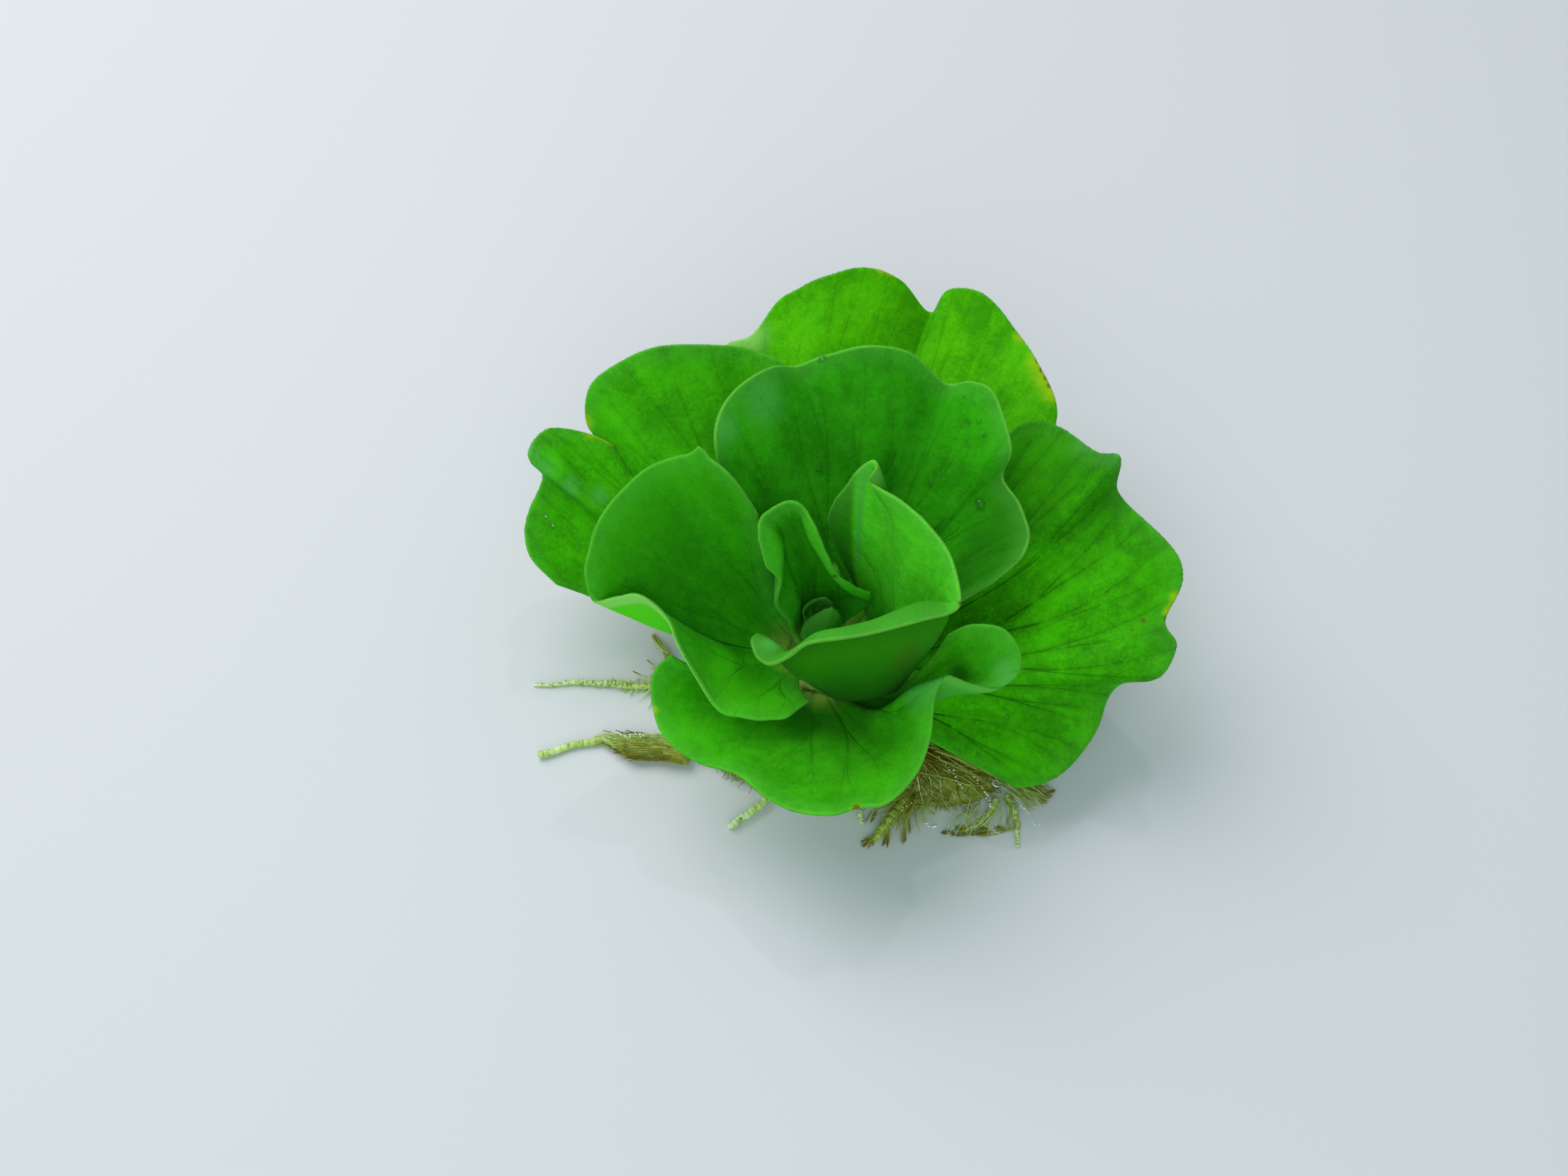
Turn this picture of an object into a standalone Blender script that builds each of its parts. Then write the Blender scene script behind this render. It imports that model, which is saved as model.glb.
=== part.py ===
"""A young water lettuce, Pistia stratiotes, lifted out of the water and set down on its roots.

The crown is a short stub. Ten leaves grow from it in a spiral, each one 140 degrees round from
the last, a little higher and steeper. Felted roots lie in a low mound under the crown, with a few
roots reaching out of it. The origin is on the surface that the plant stands on, under the crown.
The leaf bases wrap one another round the crown, with clear gaps of about 0.3 mm between pieces.
All sizes below are millimetres, and azimuths are degrees, anticlockwise from +X seen from above.
"""

import math

import bmesh
import bpy
from mathutils import Vector

MM = 0.001

# The crown: a turned stub, its half outline from the tip down to the underside.
CROWN_OUTLINE = (
    (0.0, 12.7), (0.5, 12.4), (1.1, 11.4), (1.9, 9.6), (2.6, 7.6),
    (3.3, 5.8), (3.6, 4.9), (3.1, 4.2), (0.0, 4.0),
)
CROWN_STEPS = 20

# The mound of felted roots: how far it reaches every 30 degrees from azimuth 0, and its height.
MAT_REACH = (17.5, 15.0, 14.5, 15.5, 15.0, 14.0, 13.5, 14.0, 12.2, 12.0, 14.5, 21.5)
MAT_HEIGHT = 3.6
MAT_LUMP = 0.3
MAT_SEGMENTS = 30
MAT_RINGS = 14

# A leaf is a sheet, thick where it clasps the crown and thin at its margin.
LEAF_THICKNESS = (1.3, 0.5)
LEAF_ROWS = 9
BUD_THICKNESS = (0.7, 0.4)
BUD_ROWS = 5

# Each leaf: where its base clasps the crown (azimuth, half spread, reach, height), the inner
# points of its first side, its midrib and its last side, and its margin, which runs clockwise
# seen from above. A point is (azimuth, reach, height). The tip is the place of the apical notch
# in the margin, and ruffle says how far the margin's waves run in: a high value keeps them near it.
# A swell is where the sheet bulges towards its underside, or with a minus sign its upper side: its
# place across and out, how wide it is both ways, both as shares of the leaf, and its height.
LEAVES = {
    "leaf_back": {
        "base": (77, 35, 5.0, 5.0),
        "sides": (((118, 12, 7.5), (117, 21, 10.5)), ((34, 12, 6.8), (35, 20, 9.8))),
        "midrib": ((76, 15, 10), (73, 27, 16)),
        "margin": (
            (113, 30, 13), (107, 34.5, 16.5), (102, 33.2, 19.5), (96, 35.5, 22), (90, 35.5, 24.5),
            (83, 37, 25), (77, 37.5, 23.5), (71.5, 37.2, 19.8), (69.5, 39, 22), (64.5, 39.8, 22),
            (58, 38, 21), (50, 35.5, 20), (43, 33, 18.5), (38, 28, 13.8),
        ),
        "tip": 7,
        "ruffle": 1.6,
        "colour": (0.16, 0.42, 0.02),
    },
    "leaf_right": {
        "base": (-3, 38, 4.8, 5.8),
        "sides": (((42, 10, 9.6), (45, 16, 13.2)), ((-41, 10, 6.4), (-39, 16, 6.8))),
        "midrib": ((-3, 14, 9), (-3, 24, 13)),
        "margin": (
            (47, 22, 17), (44, 28, 20.7), (38.5, 30.3, 21), (29.4, 30.9, 21.6), (23.5, 31.3, 24),
            (21.5, 31, 20.5), (15, 32, 20), (8, 33.8, 20), (2.5, 34.3, 19), (-3, 32.6, 17),
            (-8, 33.6, 17), (-12, 32.4, 15), (-10.5, 29.5, 12), (-12.5, 28.3, 10), (-17, 28, 8.7),
            (-24, 27, 7), (-31, 25.3, 6), (-36, 23, 6),
        ),
        "tip": 9,
        "ruffle": 2.0,
        "colour": (0.14, 0.40, 0.02),
    },
    "leaf_left": {
        "base": (138, 42, 4.5, 6.6),
        "sides": (((172, 9.5, 6.9), (166, 16, 6.8), (164, 22.5, 8.6)), ((95, 10, 10.5), (92, 16, 14.5))),
        "midrib": ((138, 13, 9), (137, 21, 12)),
        "margin": (
            (166, 27, 11.3), (164, 29.7, 13.3), (160, 31.2, 14), (155.5, 31.8, 15), (149.5, 32.2, 16.3),
            (150, 33.4, 19), (144.5, 34.5, 18.5), (140.7, 33.6, 17.5), (137, 29.5, 15), (135.5, 33.2, 16),
            (133, 34.6, 18.6), (128.5, 34.8, 20), (122, 33, 22), (114, 30.7, 23), (104, 29, 22),
            (97, 26.3, 21.5), (92, 21.5, 17.5),
        ),
        "tip": 8,
        "ruffle": 2.0,
        "colour": (0.14, 0.40, 0.02),
    },
    "leaf_front": {
        "base": (-81, 44, 4.3, 7.4),
        "sides": (((-34, 8.2, 8.6), (-18, 10.8, 11.8)), ((-143, 8, 8.6), (-159, 11.5, 11.4))),
        "midrib": ((-81, 9, 8.8), (-81, 15, 11.2)),
        "margin": (
            (-10, 12.2, 15.2), (-9, 14.4, 17.3), (-9, 17.3, 17.3), (-14, 19.4, 16), (-19, 19.6, 15),
            (-25, 18.2, 14.6), (-29.5, 16.2, 15.8), (-35.5, 14.2, 17.8), (-43, 14.3, 16.5),
            (-53, 16.6, 15), (-64, 19.2, 15), (-74, 20.9, 15), (-81, 20.5, 14.4), (-88, 21.3, 15),
            (-97, 20.6, 14), (-106, 19.1, 13), (-117, 17.4, 12), (-130, 18.4, 12), (-142, 18.9, 13),
            (-154.5, 17.8, 13.4), (-162, 16.6, 13.8), (-164.8, 14.7, 14.4),
        ),
        "tip": 12,
        "ruffle": 1.6,
        "swells": ((0.28, 0.72, 0.11, 0.25, -2.2),),
        "colour": (0.10, 0.34, 0.03),
    },
    "leaf_centre_back": {
        "base": (59, 44, 3.8, 8.2),
        "sides": (((118, 5.8, 13), (132, 8.6, 19)), ((9, 8, 10.2), (7, 12.5, 14.2))),
        "midrib": ((58, 9, 13), (58, 15.5, 19)),
        "margin": (
            (138, 11.5, 24.5), (136.5, 13.5, 28), (130, 15.3, 30), (119, 17, 31), (104, 19.3, 30),
            (97, 19.8, 29), (90, 20, 30), (78, 20, 32), (67.5, 21.4, 31), (58, 22.8, 27),
            (52, 23.7, 28), (45, 23.7, 28), (34, 21.8, 26), (32, 20.7, 23), (23, 20.8, 22),
            (15, 20.5, 21), (10, 19.2, 20), (7.5, 16.5, 17.8),
        ),
        "tip": 9,
        "ruffle": 1.8,
        "colour": (0.04, 0.26, 0.02),
    },
    "leaf_left_front": {
        "base": (-173, 48, 3.5, 9.0),
        "sides": (((-112, 5.2, 9.8),), ((137, 5.4, 14.5), (141, 6.9, 20))),
        "midrib": ((-172, 9, 12), (-172, 15, 16.5)),
        "margin": (
            (-99, 7.2, 11.4), (-108, 9.6, 12), (-116, 11, 12.4), (-126, 12.4, 13), (-134, 13.7, 14),
            (-146, 13.8, 16), (-157, 14.4, 19), (-164, 14.8, 21), (-170, 16.8, 23), (-172, 19, 22.5),
            (-173, 21.3, 21.8), (-177.5, 21.8, 24), (179, 21.4, 25.5), (174, 20.8, 27),
            (168, 19.7, 28), (159, 18.1, 29), (151, 16.5, 29.3), (145.5, 13.8, 30.1), (144, 10.4, 29.4),
            (142, 7.5, 25.2),
        ),
        "tip": 10,
        "ruffle": 1.6,
        "colour": (0.06, 0.30, 0.02),
    },
    "leaf_inner_right": {
        "base": (-40, 42, 3.8, 9.2),
        "sides": (
            ((28, 5.4, 11), (46, 5.5, 12.8)),
            ((-92, 5.4, 10.4), (-113, 5.2, 13), (-124, 6.8, 16.8)),
        ),
        "midrib": ((-34, 8.2, 11.2), (-31, 11.0, 18.5)),
        "margin": (
            (58, 5.6, 15.5), (75, 5.9, 18.7), (84, 6.3, 22), (80, 6.3, 25), (71, 6.2, 27.6),
            (60, 6.5, 30.8), (49, 6.7, 32.8), (38, 6.4, 32.8), (12.7, 7.2, 31.5), (-1, 8.8, 31),
            (-11, 10.8, 30), (-19.5, 12.3, 29), (-29.3, 13.9, 27.5), (-34, 13.5, 26.4), (-43, 11.9, 26),
            (-61, 10.2, 25.5), (-83, 9.4, 25), (-100, 9.3, 24), (-109, 10.1, 22.5), (-117, 11, 21.5),
            (-125, 10.7, 21), (-134, 9.6, 20.8), (-141, 7.9, 19.6),
        ),
        "tip": 12,
        "ruffle": 1.6,
        "swells": ((0.74, 0.4, 0.15, 0.3, 1.2), (0.14, 0.6, 0.18, 0.35, 1.2)),
        "colour": (0.10, 0.40, 0.03),
    },
    "leaf_inner_left": {
        "base": (108, 62, 2.5, 10.8),
        "sides": (((-172, 3.4, 14), (-168, 4.5, 18)), ((28, 3.8, 12.8), (21, 5.1, 14.8))),
        "midrib": ((108, 3.9, 16), (112, 5.1, 22)),
        "margin": (
            (-178, 5.3, 23.5), (168, 6.2, 26), (156, 6.4, 27.2), (144, 5.6, 28), (129, 4.8, 28.5),
            (115, 3.7, 28), (99, 2.3, 26.3), (72, 1.9, 23.3), (42, 2.2, 20.4), (25, 3.6, 18.4),
            (18, 5.0, 17.2),
        ),
        "tip": 4,
        "ruffle": 1.6,
        "colour": (0.07, 0.32, 0.03),
    },
}

# The bud is a small folded cup: a front leaf and a back leaf, their margins close together.
BUD_LEAVES = {
    "bud_leaf_front": {
        "base": (-75, 70, 1.6, 12.6),
        "sides": (((-2, 1.9, 13.6),), ((-152, 2.1, 13.6),)),
        "midrib": ((-75, 2.3, 14.2),),
        "margin": (
            (-6, 1.9, 14.7), (-14, 1.7, 15.9), (-20, 0.9, 16.5), (-165, 0.9, 16.3), (-168, 1.9, 15.4),
            (-158, 2.2, 14.6),
        ),
        "tip": 2,
        "ruffle": 1.4,
        "colour": (0.08, 0.32, 0.04),
    },
    "bud_leaf_back": {
        "base": (95, 55, 1.5, 12.8),
        "sides": (((150, 1.8, 13.8),), ((46, 1.6, 13.8),)),
        "midrib": ((95, 1.7, 14.4),),
        "margin": (
            (158, 1.9, 14.8), (146, 1.7, 15.8), (110, 1.2, 16.5), (66, 1.3, 16.7), (44, 1.6, 15.8),
            (42, 1.6, 14.9),
        ),
        "tip": 3,
        "ruffle": 1.4,
        "colour": (0.08, 0.32, 0.04),
    },
}

# Each root: its course as (x, y, radius) from its tip to where it meets the mound. The radius
# takes in the short hairs and side roots, and the root lies on the surface.
ROOTS = {
    "root_left_thin": ((-29.3, 1.6, 0.45), (-24, 1.9, 0.6), (-19.5, 1.5, 1.0), (-14.0, 1.1, 1.2)),
    "root_left_thick": ((-28.2, -7.0, 0.6), (-22.6, -5.4, 0.9), (-18.4, -6.6, 1.8), (-12.9, -7.0, 1.6)),
    "root_left_back": ((-17.4, 8.2, 0.5), (-16.1, 5.6, 0.8), (-13.7, 3.8, 0.8)),
    "root_front": ((-8.9, -14.8, 0.6), (-6.6, -13.0, 0.7), (-5.0, -11.6, 0.7)),
    "root_front_stub": ((3.7, -14.3, 0.5), (3.3, -13.0, 0.6)),
    "root_tuft_front": ((4.6, -16.9, 0.9), (7.2, -15.2, 1.5), (8.9, -13.4, 1.4)),
    "root_tuft_right": ((11.9, -16.0, 0.9), (15.0, -15.4, 1.5), (17.1, -12.4, 1.2)),
    "root_pale_tip": ((19.3, -16.9, 0.5), (19.8, -14.4, 0.6), (19.0, -10.9, 0.7)),
    "root_right": ((23.4, -10.9, 0.5), (21.8, -10.1, 0.8), (19.7, -8.6, 0.8)),
}
ROOT_POINTS = 9

COLLECTION = "water_lettuce"


def clear_scene():
    for obj in list(bpy.data.objects):
        bpy.data.objects.remove(obj, do_unlink=True)


def polar(azimuth, reach, height):
    """The point at this azimuth, reach and height about the crown's axis."""
    angle = math.radians(azimuth)
    return Vector((reach * math.cos(angle), reach * math.sin(angle), height))


def smooth_curve(points, place):
    """The point at place, from 0 to 1, on the smooth curve through the points."""
    last = len(points) - 1
    where = min(max(place, 0.0), 1.0) * last
    i = min(int(where), last - 1)
    w = where - i
    before, start = points[max(i - 1, 0)], points[i]
    end, after = points[i + 1], points[min(i + 2, last)]
    swing = (end - before) * w + (2 * before - 5 * start + 4 * end - after) * w * w
    return start + 0.5 * (swing + (3 * start - before - 3 * end + after) * w**3)


def even_curve(points, place):
    """Like smooth_curve, but place runs with the length of the curve."""
    lengths = [(b - a).length for a, b in zip(points, points[1:])]
    left = place * sum(lengths)
    for i, length in enumerate(lengths):
        if left <= length or i == len(lengths) - 1:
            return smooth_curve(points, (i + min(left / length, 1.0)) / len(lengths))
        left -= length


class LeafSheet:
    """The middle surface of one leaf: across runs along its margin, out runs from base to margin."""

    def __init__(self, leaf):
        azimuth, self.half_spread, self.base_reach, self.base_height = leaf["base"]
        self.azimuth = azimuth
        self.margin = [polar(*point) for point in leaf["margin"]]
        self.tip = leaf["tip"] / (len(self.margin) - 1)
        self.ruffle = leaf["ruffle"]
        self.swells = leaf.get("swells", ())
        first, last = ([polar(*point) for point in side] for side in leaf["sides"])
        middle = [polar(*point) for point in leaf["midrib"]]
        self.ribs = [
            [self.base(place), *inner, smooth_curve(self.margin, place)]
            for place, inner in ((0.0, first), (self.tip, middle), (1.0, last))
        ]
        midrib = self.ribs[1][-1] - self.ribs[1][0]
        self.slope = math.atan2(midrib.z, math.hypot(midrib.x, midrib.y))

    def base(self, across):
        azimuth = self.azimuth + self.half_spread * (1 - 2 * across)
        return polar(azimuth, self.base_reach, self.base_height)

    def blend(self, across):
        """How much each of the three ribs counts at this place across the leaf."""
        tip = self.tip
        return (
            (across - tip) * (across - 1) / tip,
            across * (across - 1) / (tip * (tip - 1)),
            across * (across - tip) / (1 - tip),
        )

    def mix(self, across, points):
        return sum((share * point for share, point in zip(self.blend(across), points)), Vector())

    def point(self, across, out):
        spine = self.mix(across, [even_curve(rib, out) for rib in self.ribs])
        at_base = self.base(across) - self.mix(across, [rib[0] for rib in self.ribs])
        at_margin = smooth_curve(self.margin, across) - self.mix(across, [rib[-1] for rib in self.ribs])
        place = spine + at_base * (1 - out) ** 2 + at_margin * out**self.ruffle
        return place + self.swelling(across, out) * self.underside(place)

    def swelling(self, across, out):
        """How far the swells push the sheet towards its underside here; none at its edges."""
        fade = (1 - (2 * out - 1) ** 6) * (1 - (2 * across - 1) ** 6)
        return fade * sum(
            height * math.exp(-(((across - at) / wide) ** 2) - ((out - along) / long) ** 2)
            for at, along, wide, long, height in self.swells
        )

    def underside(self, place):
        """Out from the crown's axis for a steep leaf, and down for a low one."""
        away = Vector((place.x, place.y, 0.0)).normalized()
        return away * math.sin(self.slope) - Vector((0.0, 0.0, math.cos(self.slope)))


def plain_material(name, colour, roughness):
    material = bpy.data.materials.new(name)
    material.use_nodes = True
    shader = material.node_tree.nodes["Principled BSDF"]
    shader.inputs["Base Color"].default_value = (*colour, 1.0)
    shader.inputs["Roughness"].default_value = roughness
    shader.inputs["Metallic"].default_value = 0.0
    material.diffuse_color = (*colour, 1.0)
    return material


def add_object(name, data, collection, material):
    obj = bpy.data.objects.new(name, data)
    collection.objects.link(obj)
    data.materials.append(material)
    return obj


def add_leaf(name, leaf, rows, thickness, collection):
    """A grid mapped onto the leaf's sheet, thickened by Solidify and thinner towards the margin."""
    thick, thin = thickness
    sheet = LeafSheet(leaf)
    bm = bmesh.new()
    bmesh.ops.create_grid(bm, x_segments=len(sheet.margin) - 1, y_segments=rows, size=1.0)
    weights = []
    for vert in bm.verts:
        across, out = (vert.co.x + 1) / 2, (vert.co.y + 1) / 2
        vert.co = sheet.point(across, out) * MM
        inside = (1 - out) ** 1.2 * (1 - 0.5 * abs(2 * across - 1) ** 3)
        weights.append(inside)
    mesh = bpy.data.meshes.new(name)
    bm.to_mesh(mesh)
    bm.free()
    mesh.shade_smooth()
    obj = add_object(name, mesh, collection, plain_material(name, leaf["colour"], 0.55))
    group = obj.vertex_groups.new(name="thickness")
    for index, weight in enumerate(weights):
        group.add([index], weight, "REPLACE")
    solidify = obj.modifiers.new("thickness", "SOLIDIFY")
    solidify.thickness = thick * MM
    solidify.offset = 0.0
    solidify.vertex_group = group.name
    solidify.thickness_vertex_group = thin / thick
    return obj


def add_crown(collection):
    mesh = bpy.data.meshes.new("crown")
    points = [(reach * MM, 0.0, height * MM) for reach, height in CROWN_OUTLINE]
    mesh.from_pydata(points, [(i, i + 1) for i in range(len(points) - 1)], [])
    obj = add_object("crown", mesh, collection, plain_material("crown", (0.45, 0.50, 0.16), 0.5))
    screw = obj.modifiers.new("turned", "SCREW")
    screw.axis = "Z"
    screw.steps = screw.render_steps = CROWN_STEPS
    screw.use_merge_vertices = True
    screw.merge_threshold = 0.00001
    screw.use_smooth_shade = True
    return obj


def mat_reach(angle):
    """How far the root mound reaches at this angle, a smooth closed curve through its reaches."""
    count = len(MAT_REACH)
    where = (angle / (2 * math.pi) * count) % count
    i = int(where)
    near = [MAT_REACH[(i + k) % count] for k in (-1, 0, 1, 2)]
    return smooth_curve(near, (1 + where - i) / 3)


def add_root_mat(collection):
    """A sphere pressed into a low lumpy mound, its lower half flat on the surface."""
    bm = bmesh.new()
    bmesh.ops.create_uvsphere(bm, u_segments=MAT_SEGMENTS, v_segments=MAT_RINGS, radius=1.0)
    for vert in bm.verts:
        angle = math.atan2(vert.co.y, vert.co.x)
        across = math.hypot(vert.co.x, vert.co.y)
        if vert.co.z < -0.01:
            across *= 0.985
        reach = mat_reach(angle) * across
        lumps = math.sin(5 * angle + 6 * across) * math.sin(9 * across - 2 * angle)
        height = (MAT_HEIGHT + MAT_LUMP * lumps * across) * max(vert.co.z, 0.0) ** 1.1
        vert.co = (reach * math.cos(angle) * MM, reach * math.sin(angle) * MM, height * MM)
    mesh = bpy.data.meshes.new("root_mat")
    bm.to_mesh(mesh)
    bm.free()
    mesh.shade_smooth()
    return add_object("root_mat", mesh, collection, plain_material("root_mat", (0.13, 0.10, 0.03), 0.45))


def add_root(name, course, collection):
    """A tapering tube along the root's course, lying on the surface."""
    curve = bpy.data.curves.new(name, "CURVE")
    curve.dimensions = "3D"
    curve.bevel_depth = MM
    curve.bevel_resolution = 2
    curve.use_fill_caps = True
    spline = curve.splines.new("POLY")
    spline.points.add(ROOT_POINTS - 1)
    course = [Vector(point) for point in course]
    for i, point in enumerate(spline.points):
        x, y, radius = smooth_curve(course, i / (ROOT_POINTS - 1))
        point.co = (x * MM, y * MM, (radius + 0.02) * MM, 1.0)
        point.radius = radius
    return add_object(name, curve, collection, plain_material(name, (0.42, 0.45, 0.14), 0.45))


def main():
    clear_scene()
    collection = bpy.data.collections.new(COLLECTION)
    bpy.context.scene.collection.children.link(collection)
    add_crown(collection)
    add_root_mat(collection)
    for name, course in ROOTS.items():
        add_root(name, course, collection)
    for name, leaf in LEAVES.items():
        add_leaf(name, leaf, LEAF_ROWS, LEAF_THICKNESS, collection)
    for name, leaf in BUD_LEAVES.items():
        add_leaf(name, leaf, BUD_ROWS, BUD_THICKNESS, collection)


main()
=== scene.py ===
"""Looks of the young water lettuce: fine leaves, down, roots, drops, materials, light and camera.

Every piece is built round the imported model. Leaves are sheets made from the same margins and ribs
as its solids, with veins, rolled rims and down added. Lengths are in millimetres until a mesh is
made, azimuths are degrees anticlockwise from +X seen from above.
"""

import math
import random

import bpy
import numpy as np
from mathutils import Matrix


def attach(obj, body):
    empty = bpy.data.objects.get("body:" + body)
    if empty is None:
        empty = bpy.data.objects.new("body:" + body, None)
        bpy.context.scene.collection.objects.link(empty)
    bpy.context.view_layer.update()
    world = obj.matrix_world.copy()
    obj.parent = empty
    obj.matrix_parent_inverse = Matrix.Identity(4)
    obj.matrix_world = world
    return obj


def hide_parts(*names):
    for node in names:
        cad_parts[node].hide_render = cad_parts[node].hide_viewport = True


MM = 0.001
BODY = "root"

# The camera stands in front of the plant and looks down on it.
EYE = (-3.5, -100.7, 163.8)
TARGET = (-3.5, 14.0, 0.0)
LENS = 43.0
SENSOR = 36.0

# Resolution of the leaves, in millimetres between vertices.
COLUMN_STEP = 0.5
ROW_STEP = 0.36
EDGE_ROWS = (0.0, 0.003, 0.009, 0.018)

# A leaf's thickness at its base and at its margin, and the radius of its rounded edge.
THICKNESS = (1.0, 0.4)
BUD_THICKNESS = (0.6, 0.34)
EDGE_RADIUS = 0.3
HAIRS_PER_MM = 12
HAIR_LENGTH = (0.06, 0.17)
HAIR_RADIUS = 0.018
VEIN_GROOVE = 0.10
VEIN_RIDGE = 0.16

# The two forks of every main vein: where it starts and ends, as shares of the way out, and how
# far the branches move apart, as a share of the distance between main veins.
FORKS = ((0.22, 0.70, 0.25), (0.50, 1.0, 0.125))

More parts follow.
